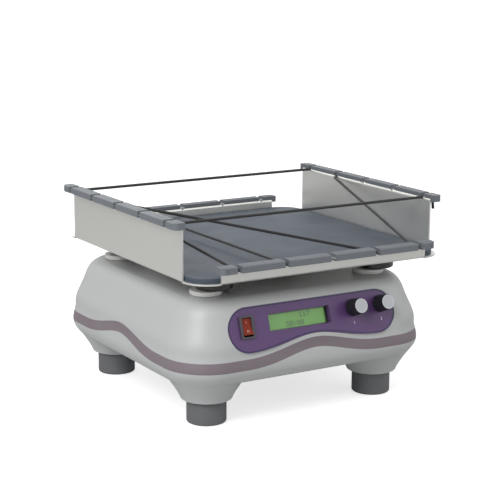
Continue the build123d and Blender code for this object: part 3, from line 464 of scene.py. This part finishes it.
def braid_finish(colour):
    """Woven sleeve of the cord: two diagonal sets of waves over the tube's map, the higher on top."""
    material = finish("braided_cord", colour, 0.62, 0.8, grain=2500.0, sheen_weight=0.25)
    tree = material.node_tree
    shader = tree.nodes["Principled BSDF"]
    place = add(tree, "ShaderNodeUVMap", uv_map="run").outputs[0]
    split = add(tree, "ShaderNodeSeparateXYZ", {0: place})
    waves = []
    for turns_round in (6.0, -6.0):
        lean = add(tree, "ShaderNodeMath", {0: split.outputs[1], 1: turns_round}, operation="MULTIPLY")
        along = add(tree, "ShaderNodeMath", {0: split.outputs[0], 1: 900.0}, operation="MULTIPLY")
        phase = add(tree, "ShaderNodeMath", {0: lean.outputs[0], 1: along.outputs[0]}, operation="ADD")
        turns = add(tree, "ShaderNodeMath", {0: phase.outputs[0], 1: 2 * math.pi}, operation="MULTIPLY")
        waves.append(add(tree, "ShaderNodeMath", {0: turns.outputs[0]}, operation="SINE").outputs[0])
    top = add(tree, "ShaderNodeMath", {0: waves[0], 1: waves[1]}, operation="MAXIMUM")
    height = {"Height": top.outputs[0], "Strength": 0.5, "Distance": 0.12 * MM}
    relief = add(tree, "ShaderNodeBump", height)
    tree.links.new(relief.outputs[0], shader.inputs["Normal"])
    return material


def lit_finish(name, colour, strength):
    """A back-lit surface: a slow noise varies the light it gives out by a tenth."""
    material = finish(name, colour, 0.3, 0.4, grain=600.0, bump=0.05)
    tree = material.node_tree
    shader = tree.nodes["Principled BSDF"]
    place = add(tree, "ShaderNodeTexCoord").outputs["Object"]
    patch = add(tree, "ShaderNodeTexNoise", {"Vector": place, "Scale": 30.0, "Detail": 1.0})
    span = {"From Min": 0.2, "From Max": 0.8, "To Min": 0.9, "To Max": 1.1}
    level = add(tree, "ShaderNodeMapRange", {"Value": patch.outputs[0], **span})
    light = {0: (*colour,), "Scale": level.outputs[0]}
    glow = add(tree, "ShaderNodeVectorMath", light, operation="SCALE")
    tree.links.new(glow.outputs[0], shader.inputs["Emission Color"])
    shader.inputs["Emission Strength"].default_value = strength
    return material


def build_finishes():
    """All finishes by the record's slot names."""
    c = bpy.context.scene.shaker_colours
    grey = linear(196, 196, 198)
    return {
        "housing": finish(
            "moulded_housing", c.housing, 0.34, 0.46, grain=1500.0, bump=0.12, patch=9.0, darken=0.03
        ),
        "band": finish("trim_band", c.band, 0.42, 0.55, grain=1500.0, bump=0.12),
        "panel": finish("panel_overlay", c.panel, 0.3, 0.42, grain=2200.0, bump=0.1, coat_weight=0.15),
        "window": finish(
            "clear_window",
            (0.95, 0.98, 0.95),
            0.0,
            0.02,
            grain=300.0,
            bump=0.0,
            transmission_weight=1.0,
            ior=1.45,
        ),
        "lcd": lit_finish("lit_display", c.display, 0.32),
        # Painted shade along the panel's edge
        "rim": finish("panel_rim", c.rim, 0.3, 0.42, grain=2200.0, bump=0.1, coat_weight=0.15),
        "symbol": finish("rocker_symbol", c.symbol, 0.4, 0.5),
        # Painted shade on the dished middle of the knob caps
        "dish_shade": finish("cap_dish_shade", c.dish_shade, 0.34, 0.46, grain=1500.0, bump=0.12),
        "module": metal("display_frame", linear(92, 94, 96), 0.35, 0.5),
        "bezel": finish("switch_moulding", c.bezel, 0.3, 0.42, grain=1600.0, bump=0.12),
        "rocker": finish(
            "translucent_rocker", c.rocker, 0.42, 0.52, grain=900.0, bump=0.05, specular_ior_level=0.3
        ),
        "circuit": finish("circuit_board", linear(30, 96, 62), 0.35, 0.5, grain=500.0, bump=0.2),
        "encoder": metal("plated_encoder", grey, 0.3, 0.42),
        "knob": finish("knob_moulding", c.knob, 0.36, 0.5, grain=1600.0, bump=0.15),
        "cap": finish("knob_cap", c.cap, 0.3, 0.42, grain=1500.0, bump=0.12, coat_weight=0.2),
        "rotor": finish("encoder_rotor", linear(225, 224, 216), 0.4, 0.5),
        "foot": finish("moulded_foot", c.foot, 0.5, 0.66, grain=1100.0, bump=0.22, darken=0.1),
        "fastener": metal("plated_fastener", grey, 0.26, 0.4),
        "chassis": metal("zinc_plate", linear(170, 172, 174), 0.38, 0.55, grain=80.0),
        "casting": metal("machined_alloy", linear(190, 191, 192), 0.3, 0.45),
        "bearing": metal("ground_ring", linear(178, 179, 181), 0.16, 0.28),
        "motor": finish("motor_enamel", linear(58, 58, 61), 0.36, 0.5, grain=700.0),
        "shaft": metal("ground_shaft", linear(205, 206, 208), 0.14, 0.26),
        "belt": finish("belt_rubber", linear(26, 26, 26), 0.6, 0.75, grain=700.0, bump=0.3),
        "weight": metal("blackened_weight", linear(120, 121, 123), 0.4, 0.55),
        "disc": finish("acetal_disc", c.disc, 0.3, 0.42, grain=1500.0, bump=0.06),
        "inlet": finish("inlet_moulding", linear(34, 34, 36), 0.4, 0.52, grain=1400.0, bump=0.12),
        "blade": metal("plated_blade", linear(205, 198, 176), 0.25, 0.36),
        "tray": finish(
            "brushed_tray",
            c.metal,
            0.3,
            0.42,
            grain=420.0,
            bump=0.12,
            depth=0.03,
            stretch=(0.06, 0.06, 1.0),
            patch=7.0,
            darken=0.08,
            metallic=0.85,
        ),
        "edging": finish("edging_extrusion", c.edging, 0.42, 0.56, grain=1400.0, bump=0.14),
        "mat": finish(
            "mat_rubber", c.mat, 0.5, 0.68, grain=1100.0, bump=0.25, depth=0.08, patch=14.0, darken=0.12
        ),
        "hub": finish("hub_moulding", c.hub, 0.16, 0.26, grain=900.0, bump=0.04, coat_weight=0.3),
        "cord": braid_finish(c.cord),
        "mark": finish("printed_mark", c.marks, 0.45, 0.55),
        "character": finish("display_character", c.character, 0.4, 0.5),
        # Painted shade inside the screws' driver recesses
        "recess_shade": finish("driver_recess_shade", linear(30, 30, 32), 0.5, 0.65),
    }


FINISHES = {}


class SHAKER_OT_finishes(bpy.types.Operator):
    """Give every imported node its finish"""

    bl_idname = "shaker.finishes"
    bl_label = "Finishes"

    def execute(self, context):
        FINISHES.clear()
        FINISHES.update(build_finishes())
        for entry in frame["record"]["subparts"]:
            holder = frame["nodes"][entry["node"]]
            holder.data.materials.clear()
            holder.data.materials.append(FINISHES[entry["material_slot"]])
        return {"FINISHED"}


def edging_top(u, sizes):
    """Height of a strip's top over the flange at distance u from the wall.

    A flat crown with a few rounded grooves, run down to the back by a quarter circle.
    """
    bend_start = EDGE_REACH - EDGE_BEND
    start, end = EDGE_LANDS[0], bend_start - EDGE_LANDS[1]
    share = np.clip((u - start) / (end - start), 0, 1)
    groove = np.clip(-np.cos(2 * np.pi * sizes.grooves * share) - 0.45, 0, 1) / 0.55
    bent = np.clip(u - bend_start, 0, EDGE_BEND)
    drop = EDGE_BEND - np.sqrt(np.clip(EDGE_BEND**2 - bent**2, 0, None))
    return EDGE_CROWN - sizes.groove * groove - drop


def edging_section(sizes):
    """Closed section of a strip as (u, height) rows: crown, back, lip and the slot for the flange."""
    root = -SHEET / 2
    bend = EDGE_BEND * (1 - np.sin(np.linspace(0.2, np.pi / 2, 7)))
    u = np.concatenate([np.linspace(root, EDGE_REACH - EDGE_BEND, 44), EDGE_REACH - bend])
    top = np.c_[u, edging_top(u, sizes)]
    z = np.linspace(top[-1, 1], -SHEET - EDGE_LIP + EDGE_HEEL, 22)[1:]
    middle = (z - z[-1]) / (z[0] - z[-1])
    groove = np.clip(-np.cos(4 * np.pi * middle) - 0.6, 0, 1) / 0.4
    back = np.c_[EDGE_REACH - 0.7 * sizes.groove * groove, z]
    angle = np.linspace(0, np.pi / 2, 5)[1:]
    low = -SHEET - EDGE_FIT - EDGE_LIP
    heel = np.c_[EDGE_REACH - EDGE_HEEL * (1 - np.cos(angle)), low + EDGE_HEEL * (1 - np.sin(angle))]
    slot = np.array(
        [
            (EDGE_MOUTH, low),
            (EDGE_MOUTH, -SHEET - EDGE_FIT),
            (FLANGE_W + EDGE_FIT, -SHEET - EDGE_FIT),
            (FLANGE_W + EDGE_FIT, 0.0),
            (root, 0.0),
        ]
    )
    return np.concatenate([top, back, heel, slot])


def prism(section, start, end):
    """Closed section carried along the wall from start to end, both ends capped: (u, y, z) points."""
    n = len(section)
    ends = [np.c_[section[:, 0], np.full(n, y), section[:, 1]] for y in (start, end)]
    sides = ring_faces(2, n)[:, ::-1]
    caps = [list(range(n)), list(range(2 * n - 1, n - 1, -1))]
    return np.concatenate(ends), [*sides.tolist(), *caps]


def corner_block(start, end, bend, sizes):
    """Solid end of a corner strip, its back corner rounded in plan by a quarter circle of radius bend.

    Each station across the strip ends where that circle does: y(u) = end - bend + sqrt(bend^2 - d^2),
    where d is how far u lies inside the circle's quarter.
    """
    straight = EDGE_REACH - bend
    quarter = np.linspace(0, np.pi / 2, 16)[1:]
    u = np.concatenate([np.linspace(-SHEET / 2, straight, 20), straight + bend * np.sin(quarter)])
    inside = np.clip(u - straight, 0, bend)
    n = len(u)
    here, stop = np.full(n, start), end - bend + np.sqrt(np.clip(bend**2 - inside**2, 0, None))
    high = edging_top(u, sizes)
    low = np.clip(u - (EDGE_REACH - EDGE_HEEL), 0, None) - SHEET - EDGE_FIT - EDGE_LIP
    corners = ((here, high), (stop, high), (stop, low), (here, low))
    points = np.concatenate([np.c_[u, y, z] for y, z in corners])
    faces = ring_faces(4, n, closed=False)[:, ::-1].tolist()
    i = np.arange(n - 1)
    faces += np.c_[i, i + 1, 3 * n + i + 1, 3 * n + i].tolist()
    faces += [[0, 3 * n, 2 * n, n], [n - 1, 2 * n - 1, 3 * n - 1, 4 * n - 1]]
    return points, faces


def side_strips(sizes):
    """The six strips of one wall: four between the notches and one with a rounded end at each corner."""
    section = edging_section(sizes)
    half_notch = NOTCH_W / 2
    parts = [prism(section, y + half_notch, y + NOTCH_PITCH - half_notch) for y in NOTCHES[:-1]]
    start = NOTCHES[-1] + half_notch
    block = corner_block(WALL_END, EDGE_END, EDGE_CORNER, sizes)
    end = join_meshes([prism(section, start, WALL_END), block])
    mirrored = (end[0] * (1, -1, 1), [face[::-1] for face in end[1]])
    return join_meshes([*parts, end, mirrored])


def turned(points, quarter):
    """Points (u, y, z) of the right-hand wall, turned by quarter turns about the tray's centre."""
    angle = quarter * np.pi / 2
    x, y = points[:, 0] + TRAY_HALF, points[:, 1]
    return np.c_[
        CENTRE.x + x * np.cos(angle) - y * np.sin(angle),
        CENTRE.y + x * np.sin(angle) + y * np.cos(angle),
        points[:, 2],
    ]


class SHAKER_OT_edging(bpy.types.Operator):
    """Grooved edging strips on the four tray walls"""

    bl_idname = "shaker.edging"
    bl_label = "Edging"

    def execute(self, context):
        points, faces = side_strips(context.scene.shaker_sizes)
        for quarter, (name, top) in enumerate(
            (("right", SIDE_TOP), ("rear", FRONT_TOP), ("left", SIDE_TOP), ("front", FRONT_TOP))
        ):
            raised = turned(points + (0, 0, top), quarter)
            strip = mesh_object(
                f"edging_{name}", raised, faces, FINISHES["edging"], "platform", smooth=False
            )
        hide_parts("edging")
        return {"FINISHED"}


def rounded_square(half, radius, steps):
    """Corner-rounded square as points in order: each corner is its centre plus a quarter circle."""
    quarter = np.linspace(0, np.pi / 2, steps)
    angle = np.concatenate([quarter + k * np.pi / 2 for k in range(4)])
    corner = np.repeat(np.array([(1, 1), (-1, 1), (-1, -1), (1, -1)]), steps, axis=0)
    return corner * (half - radius) + radius * np.c_[np.cos(angle), np.sin(angle)]


class SHAKER_OT_mat(bpy.types.Operator):
    """Rubber mat with a rounded upper edge and a small bevel below"""

    bl_idname = "shaker.mat"
    bl_label = "Mat"

    def execute(self, context):
        edge = context.scene.shaker_sizes.mat_edge
        half = (MAT_HIGH.x - MAT_LOW.x) / 2
        angle = np.linspace(0, np.pi / 2, 7)
        inset = np.concatenate([[MAT_BEVEL, 0.0, 0.0], edge * (1 - np.cos(angle)), [edge + 1.5 * MM]])
        height = np.concatenate(
            [
                [MAT_LOW.z, MAT_LOW.z + MAT_BEVEL, MAT_HIGH.z - 1.4 * edge],
                MAT_HIGH.z - edge * (1 - np.sin(angle)),
                [MAT_HIGH.z],
            ]
        )
        rows = []
        for d, z in zip(inset, height):
            outline = rounded_square(half - d, MAT_R - d, 15)
            rows.append(np.c_[outline + (CENTRE.x, CENTRE.y), np.full(len(outline), z)])
        faces = capped_faces(len(rows), len(rows[0]))
        mat = mesh_object("rubber_mat", np.concatenate(rows), faces, FINISHES["mat"], "platform")
        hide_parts("mat")
        return {"FINISHED"}


def at_notch(spot, out):
    """Point on the cord's axis at a notch, that far outside the wall's outer face."""
    nx, ny, top = WALLS[spot[0]]
    along = NOTCHES[spot[1]]
    reach = TRAY_HALF + out
    x = CENTRE.x + nx * reach + ny * ny * along
    y = CENTRE.y + ny * reach + nx * nx * along
    return Vector((x, y, top - SLOT_DROP))


def strand_route(first, last, lead):
    """Route of one strand: the part's points, and two more on its long run, a lead from each bend."""
    points = [at_notch(first, CORD_END)]
    inner = [at_notch(first, -SHEET - CORD_BEND), at_notch(last, -SHEET - CORD_BEND)]
    run = (inner[1] - inner[0]).normalized()
    points += [inner[0], inner[0] + lead * run, inner[1] - lead * run, inner[1]]
    if last == ("R", 0):
        corner = at_notch(last, EDGE_REACH + CORD_BEND)
        points += [corner, corner - Vector((0, 0, TAIL_DROP))]
    else:
        points.append(at_notch(last, CORD_END))
    return points


def knot_grid(spot):
    """Points of an overhand knot round the cord outside a notch: a tube along a small trefoil.

    In the notch's own axes the trefoil is (sin t + 2 sin 2t, cos t - 2 cos 2t) across and -sin 3t along.
    """
    nx, ny, _ = WALLS[spot[0]]
    seat = np.array(at_notch(spot, KNOT_L / 2 + 0.1 * MM))
    t = np.linspace(0, 2 * np.pi, KNOT_STEPS)[:, None]
    side, up, out = np.array([(-ny, nx, 0.0), (0.0, 0.0, 1.0), (nx, ny, 0.0)])
    path = (
        seat
        + KNOT_SIZE * (np.sin(t) + 2 * np.sin(2 * t)) * side
        + KNOT_SIZE * (np.cos(t) - 2 * np.cos(2 * t)) * up
        - KNOT_REACH * np.sin(3 * t) * out
    )
    return tube_grid(path, KNOT_R, KNOT_SIDES)


def capped_faces(rows, sides):
    """Faces of a grid of rings, with a face on the first and on the last ring."""
    last = (rows - 1) * sides
    caps = [list(range(sides - 1, -1, -1)), list(range(last, last + sides))]
    return [*ring_faces(rows, sides).tolist(), *caps]


def write_run_map(mesh, sides, step):
    """Map of a tube: u is the length run along it in metres, v the share of a turn round it."""
    corners = np.empty(len(mesh.loops), dtype=int)
    mesh.loops.foreach_get("vertex_index", corners)
    mesh_map = mesh.uv_layers.new(name="run")
    spots = np.c_[(corners // sides) * step, (corners % sides) / sides]
    mesh_map.data.foreach_set("uv", spots.ravel())


class SHAKER_OT_cords(bpy.types.Operator):
    """Elastic cord strands and their knots"""

    bl_idname = "shaker.cords"
    bl_label = "Cords"

    def execute(self, context):
        sizes = context.scene.shaker_sizes
        knots = []
        for i, (first, last) in enumerate(STRANDS):
            path = spline_path([tuple(p) for p in strand_route(first, last, sizes.strand_lead)])
            grid = tube_grid(path, sizes.cord_radius, CORD_SIDES)
            faces = capped_faces(len(path), CORD_SIDES)
            strand = mesh_object(f"cord_strand_{i + 1}", grid, faces, FINISHES["cord"], "platform")
            run = np.linalg.norm(np.diff(path, axis=0), axis=1).sum()
            write_run_map(strand.data, CORD_SIDES, run / (len(path) - 1))
            for spot in (first, last):
                knots.append((knot_grid(spot), ring_faces(KNOT_STEPS, KNOT_SIDES).tolist()))
        points, faces = join_meshes(knots)
        knot = mesh_object("cord_knots", points, faces, FINISHES["cord"], "platform")
        write_run_map(knot.data, KNOT_SIDES, KNOT_STEP)
        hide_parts("bungee_cords")
        return {"FINISHED"}


# Five by seven dot patterns of the numerals, one number a row, read as bits from left to right
NUMERALS = {
    "0": (14, 17, 19, 21, 25, 17, 14),
    "1": (4, 12, 4, 4, 4, 4, 14),
    "2": (14, 17, 1, 2, 4, 8, 31),
    "3": (31, 2, 4, 2, 1, 17, 14),
    "4": (2, 6, 10, 18, 31, 2, 2),
    "5": (31, 16, 30, 1, 1, 17, 14),
    "6": (6, 8, 16, 30, 17, 17, 14),
    "7": (31, 1, 2, 4, 8, 8, 8),
    "8": (14, 17, 17, 14, 17, 17, 14),
    "9": (14, 17, 17, 15, 1, 2, 12),
    ":": (0, 12, 12, 0, 12, 12, 0),
}


def panel_points(centre, across, up, out):
    """Points at those distances to the right, up the slope and out of the panel from a centre."""
    across, up, out = np.broadcast_arrays(across, up, out)
    axes = np.array([RIGHT, UP, OUT])
    return np.array(centre) + np.stack([across, up, out], axis=-1).reshape(-1, 3) @ axes


def dots_of(text, left, top, pitch):
    """Centres of the dots of a line of numerals whose first cell starts at (left, top)."""
    spots = []
    for column, sign in enumerate(text):
        bits = np.array([[row >> (4 - i) & 1 for i in range(5)] for row in NUMERALS[sign]])
        down, across = np.nonzero(bits)
        spots.append(np.c_[left + (column * 6 + across) * pitch, top - down * pitch])
    return np.concatenate(spots)


class SHAKER_OT_display(bpy.types.Operator):
    """Dark dot characters on the lit display"""

    bl_idname = "shaker.display"
    bl_label = "Display"

    def execute(self, context):
        sizes = context.scene.shaker_sizes
        low, high = (Vector(corner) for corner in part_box("lcd_panel"))
        face = (low + high) / 2 + LCD_FACE * OUT
        pitch = sizes.dot * 1.06
        lines = ((sizes.upper_line, UPPER_AT), (sizes.lower_line, LOWER_AT))
        spots = np.concatenate([dots_of(line, *place, pitch) for line, place in lines])
        half = sizes.dot / 2
        square = np.array([(-half, -half), (half, -half), (half, half), (-half, half)])
        flat = (spots[:, None, :] + square[None, :, :]).reshape(-1, 2)
        points = panel_points(face, flat[:, 0], flat[:, 1], 0.0)
        faces = np.arange(len(points)).reshape(-1, 4)
        ink = FINISHES["character"]
        dots = mesh_object("display_characters", points, faces, ink, "case", smooth=False)
        return {"FINISHED"}


def panel_outline(inset, steps):
    """Outline of the panel, inset by that much, as (across, up) points in order.

    Two round ends of radius r, half the panel's height less the inset, joined above by a straight line
    and below by the dip v(s) = -r + dip (1 - cos 2 pi s) / 2, with s from 0 to 1 between the ends.
    """
    end = (PANEL_W - PANEL_H) / 2
    angle = np.linspace(np.pi / 2, -np.pi / 2, steps)
    radius = PANEL_H / 2 - inset
    right = np.c_[end + radius * np.cos(angle), radius * np.sin(angle)]
    share = np.linspace(0, 1, 2 * steps)[1:-1]
    dip = np.c_[end * (1 - 2 * share), -radius + PANEL_DIP * (1 - np.cos(2 * np.pi * share)) / 2]
    return np.concatenate([right, dip, right[::-1] * (-1, 1)])


class SHAKER_OT_panel_and_cap_shade(bpy.types.Operator):
    """Painted shade along the panel's edge, and painted shade on the dished middle of each knob cap"""

    bl_idname = "shaker.panel_rim"
    bl_label = "Panel rim and cap middles"

    def execute(self, context):
        sizes = context.scene.shaker_sizes
        steps = 40
        middle = panel_points(JOINTS["time_turn"]["pos_m"], -KNOB_AT[0], -KNOB_AT[1], 0.0)[0]
        # The rim: a dark band just inside the panel's outline, painted shade standing in for the shadow
        # in the gap round the panel
        rings = [panel_outline(inset, steps) for inset in (0.15 * MM, sizes.rim)]
        flat = np.concatenate(rings) + (0.0, PANEL_V)
        points = panel_points(middle, flat[:, 0], flat[:, 1], PANEL_T + PRINT_GAP)
        faces = ring_faces(2, len(rings[0]))[:, ::-1].tolist()
        rim = mesh_object("panel_rim", points, faces, FINISHES["rim"], "case", smooth=False)
        # Painted shade: a darker disc over each cap's dished middle, standing in for the shade in that
        # hollow
        angle = np.linspace(0, 2 * np.pi, steps, endpoint=False)
        radii = CAP_DISH_R * np.array([[1.0], [0.75], [0.5], [0.25]])
        across, up = (radii * np.cos(angle)).ravel(), (radii * np.sin(angle)).ravel()
        disc_faces = [*ring_faces(4, steps).tolist(), list(range(3 * steps, 4 * steps))]
        for name in ("time", "speed"):
            points = panel_points(JOINTS[f"{name}_turn"]["pos_m"], across, up, CAP_FLOOR + 0.02 * MM)
            shade_name, body = f"{name}_cap_shade", f"{name}_button"
            dish_shade = mesh_object(shade_name, points, disc_faces, FINISHES["dish_shade"], body)
        return {"FINISHED"}


def ring_mark(radius, width):
    """Flat ring as (across, up) points and quads: two circles joined."""
    angle = np.linspace(0, 2 * np.pi, 32, endpoint=False)
    circle = np.c_[np.cos(angle), np.sin(angle)]
    return np.concatenate([circle * radius, circle * (radius - width)]), ring_faces(2, 32).tolist()


def bar_mark(width, height):
    """Flat upright bar as (across, up) points and one quad."""
    w, h = width / 2, height / 2
    return np.array([(-w, -h), (w, -h), (w, h), (-w, h)]), [[0, 1, 2, 3]]


def numeral_mesh(text, height):
    """A numeral as (across, up) points and faces, centred, from Blender's own letter shapes."""
    curve = bpy.data.curves.new("numeral", "FONT")
    curve.body = text
    curve.size = height / NUMERAL_SHARE
    curve.align_x = "CENTER"
    curve.align_y = "CENTER"
    points, faces = evaluated(curve)
    return points[:, :2], faces


class SHAKER_OT_marks(bpy.types.Operator):
    """Line and circle on the rocker, and a numeral under each knob"""

    bl_idname = "shaker.marks"
    bl_label = "Marks"

    def execute(self, context):
        sizes = context.scene.shaker_sizes
        pivot = np.array(JOINTS["power_rocker"]["pos_m"])
        height = ROCKER_CREST + ROCKER_MARK_AT * math.tan(ROCKER_SLOPE) + 0.04 * MM
        for name, shape, end in (
            ("rocker_mark_line", bar_mark(0.4 * MM, 2.4 * MM), 1.0),
            ("rocker_mark_ring", ring_mark(1.2 * MM, 0.36 * MM), -1.0),
        ):
            flat, faces = shape
            lean = end * ROCKER_SLOPE
            along = end * ROCKER_MARK_AT + flat[:, 1] * math.cos(lean)
            out = height + flat[:, 1] * math.sin(lean)
            turned_up = along * math.cos(ROCKER_TILT) + out * math.sin(ROCKER_TILT)
            turned_out = -along * math.sin(ROCKER_TILT) + out * math.cos(ROCKER_TILT)
            points = panel_points(pivot, flat[:, 0], turned_up, turned_out)
            mark = mesh_object(name, points, faces, FINISHES["symbol"], "rocker", smooth=False)
        face = PANEL_T + PRINT_GAP
        for text, joint in (("1", "time_turn"), ("2", "speed_turn")):
            flat, faces = numeral_mesh(text, sizes.mark)
            points = panel_points(JOINTS[joint]["pos_m"], flat[:, 0], flat[:, 1] - NUMERAL_DROP, face)
            ink = FINISHES["mark"]
            mark = mesh_object(f"knob_numeral_{text}", points, faces, ink, "case", smooth=False)
        return {"FINISHED"}


def cross_recess(size, width):
    """Cross outline as (across, up) points in order, from one arm repeated in four quarter turns."""
    w, s = width / 2, size / 2
    arm = np.array([(w, w), (s, w), (s, -w)])
    quarter_turn = np.array([(0.0, 1.0), (-1.0, 0.0)])
    return np.concatenate([arm @ np.linalg.matrix_power(quarter_turn, i).T for i in range(4)])


class SHAKER_OT_recess_shades(bpy.types.Operator):
    """Painted shade of the driver recesses in the screws under the case and beside the inlet: a flat
    dark cross on each head
    """

    bl_idname = "shaker.recesses"
    bl_label = "Screw recesses"

    def execute(self, context):
        outline = cross_recess(RECESS_SIZE, RECESS_W)
        n = len(outline)
        across, up = outline.T
        low, high = (Vector(corner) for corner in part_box("case_screws"))
        inlet_low, inlet_high = (Vector(corner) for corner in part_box("inlet_body"))
        # Each cross is a flat near-black sheet just off the screw head, painted shade standing in for
        # the hollow of the recess
        level = np.full(n, low.z - RECESS_GAP)
        crosses = [
            np.c_[across + x, up + y, level]
            for x in (low.x + SCREW_HEAD_R, high.x - SCREW_HEAD_R)
            for y in (-CASE_SCREW_Y, CASE_SCREW_Y)
        ]
        middle = (inlet_low + inlet_high) / 2
        back = np.full(n, high.y + RECESS_GAP)
        for x in (-INLET_SCREW_X, INLET_SCREW_X):
            crosses.append(np.c_[across * 0.8 + x, back, up * 0.8 + middle.z])
        points, faces = join_meshes([(cross, [range(n)]) for cross in crosses])
        recess_shade = mesh_object("driver_recess_shades", points, faces, FINISHES["recess_shade"], "case", smooth=False)
        return {"FINISHED"}


def lamp(name, place, aim, power, width):
    """A square soft lamp at a place, turned towards a point."""
    data = bpy.data.lights.new(name, "AREA")
    data.energy = power
    data.size = width
    made = bpy.data.objects.new(name, data)
    made.location = place
    made.rotation_euler = (Vector(aim) - Vector(place)).to_track_quat("-Z", "Y").to_euler()
    bpy.context.scene.collection.objects.link(made)


def camera_matrix(azimuth, elevation, roll, place):
    """Camera pose from its bearing, its height above the horizon and its roll, in degrees."""
    a, e, r = (math.radians(x) for x in (azimuth, elevation, roll))
    back = Vector((math.sin(a) * math.cos(e), -math.cos(a) * math.cos(e), math.sin(e)))
    right = Vector((math.cos(a), math.sin(a), 0.0))
    up = back.cross(right)
    side = math.cos(r) * right + math.sin(r) * up
    top = -math.sin(r) * right + math.cos(r) * up
    turn = Matrix((side, top, back)).transposed()
    return Matrix.Translation(place) @ turn.to_4x4()


class SHAKER_OT_stage(bpy.types.Operator):
    """Floor, soft lamps, sky and camera"""

    bl_idname = "shaker.stage"
    bl_label = "Stage"

    def execute(self, context):
        scene = context.scene
        sizes = scene.shaker_sizes
        angle = np.linspace(0, 2 * np.pi, 64, endpoint=False)
        ground = bpy.data.meshes.new("floor")
        rim = np.c_[FLOOR_R * np.cos(angle), FLOOR_R * np.sin(angle), np.full(64, -FLOOR_DROP)]
        ground.from_pydata(rim.tolist(), [], [list(range(64))])
        floor = bpy.data.objects.new("floor", ground)
        scene.collection.objects.link(floor)
        paint = finish("floor_paint", scene.shaker_colours.floor, 0.7, 0.8, grain=60.0, bump=0.01)
        tree = paint.node_tree
        plain = tree.nodes["Principled BSDF"].outputs[0]
        ray = add(tree, "ShaderNodeLightPath").outputs["Is Camera Ray"]
        white = add(tree, "ShaderNodeEmission", {"Strength": FLOOR_GLOW})
        both = add(tree, "ShaderNodeAddShader", {0: plain, 1: white.outputs[0]})
        pick = add(tree, "ShaderNodeMixShader", {0: ray, 1: plain, 2: both.outputs[0]})
        tree.links.new(pick.outputs[0], tree.nodes["Material Output"].inputs["Surface"])
        ground.materials.append(paint)

        world = bpy.data.worlds.new("studio")
        world.use_nodes = True
        sky = world.node_tree
        seen = add(sky, "ShaderNodeLightPath").outputs
        rays = {0: seen["Is Camera Ray"], 1: seen["Is Glossy Ray"]}
        shown = add(sky, "ShaderNodeMath", rays, operation="MAXIMUM")
        span = {"Value": shown.outputs[0], "To Min": sizes.sky, "To Max": 1.0}
        strength = add(sky, "ShaderNodeMapRange", span)
        sky.nodes["Background"].inputs["Color"].default_value = (1, 1, 1, 1)
        sky.links.new(strength.outputs[0], sky.nodes["Background"].inputs["Strength"])
        scene.world = world

        for name, place, aim, share, width in LAMPS:
            lamp(name, place, (0, 0, aim), sizes.lamp * share, width)

        data = bpy.data.cameras.new("camera")
        data.sensor_width = 36.0
        data.lens = FOCAL_PX * data.sensor_width / PICTURE_PX
        data.clip_start = 0.05
        camera = bpy.data.objects.new("camera", data)
        camera.matrix_world = camera_matrix(*CAMERA_TURN, Vector(CAMERA_AT))
        scene.collection.objects.link(camera)
        scene.camera = camera
        scene.view_settings.view_transform = "Standard"
        return {"FINISHED"}


class SHAKER_PT_panel(bpy.types.Panel):
    """Pieces, colours and sizes of the shaker"""

    bl_idname = "SHAKER_PT_panel"
    bl_label = "Orbital shaker"
    bl_space_type = "VIEW_3D"
    bl_region_type = "UI"
    bl_category = "Shaker"

    def draw(self, context):
        for step in STEPS:
            self.layout.operator(step.bl_idname)
        for group in (context.scene.shaker_colours, context.scene.shaker_sizes):
            column = self.layout.column()
            for name in group.__annotations__:
                column.prop(group, name)


STEPS = (
    SHAKER_OT_finishes,
    SHAKER_OT_edging,
    SHAKER_OT_mat,
    SHAKER_OT_cords,
    SHAKER_OT_display,
    SHAKER_OT_panel_and_cap_shade,
    SHAKER_OT_marks,
    SHAKER_OT_recess_shades,
    SHAKER_OT_stage,
)
CLASSES = (ShakerColours, ShakerSizes, *STEPS, SHAKER_PT_panel)


def register():
    """Registers the classes and hangs the settings on the scene."""
    for kind in CLASSES:
        bpy.utils.register_class(kind)
    bpy.types.Scene.shaker_colours = PointerProperty(type=ShakerColours)
    bpy.types.Scene.shaker_sizes = PointerProperty(type=ShakerSizes)


def unregister():
    """Takes the settings and the classes away again."""
    del bpy.types.Scene.shaker_sizes
    del bpy.types.Scene.shaker_colours
    for kind in reversed(CLASSES):
        bpy.utils.unregister_class(kind)


def main():
    """Dresses the part by running every step in turn."""
    register()
    for step in STEPS:
        group, name = step.bl_idname.split(".")
        getattr(getattr(bpy.ops, group), name)()


if __name__ == "__main__":
    main()
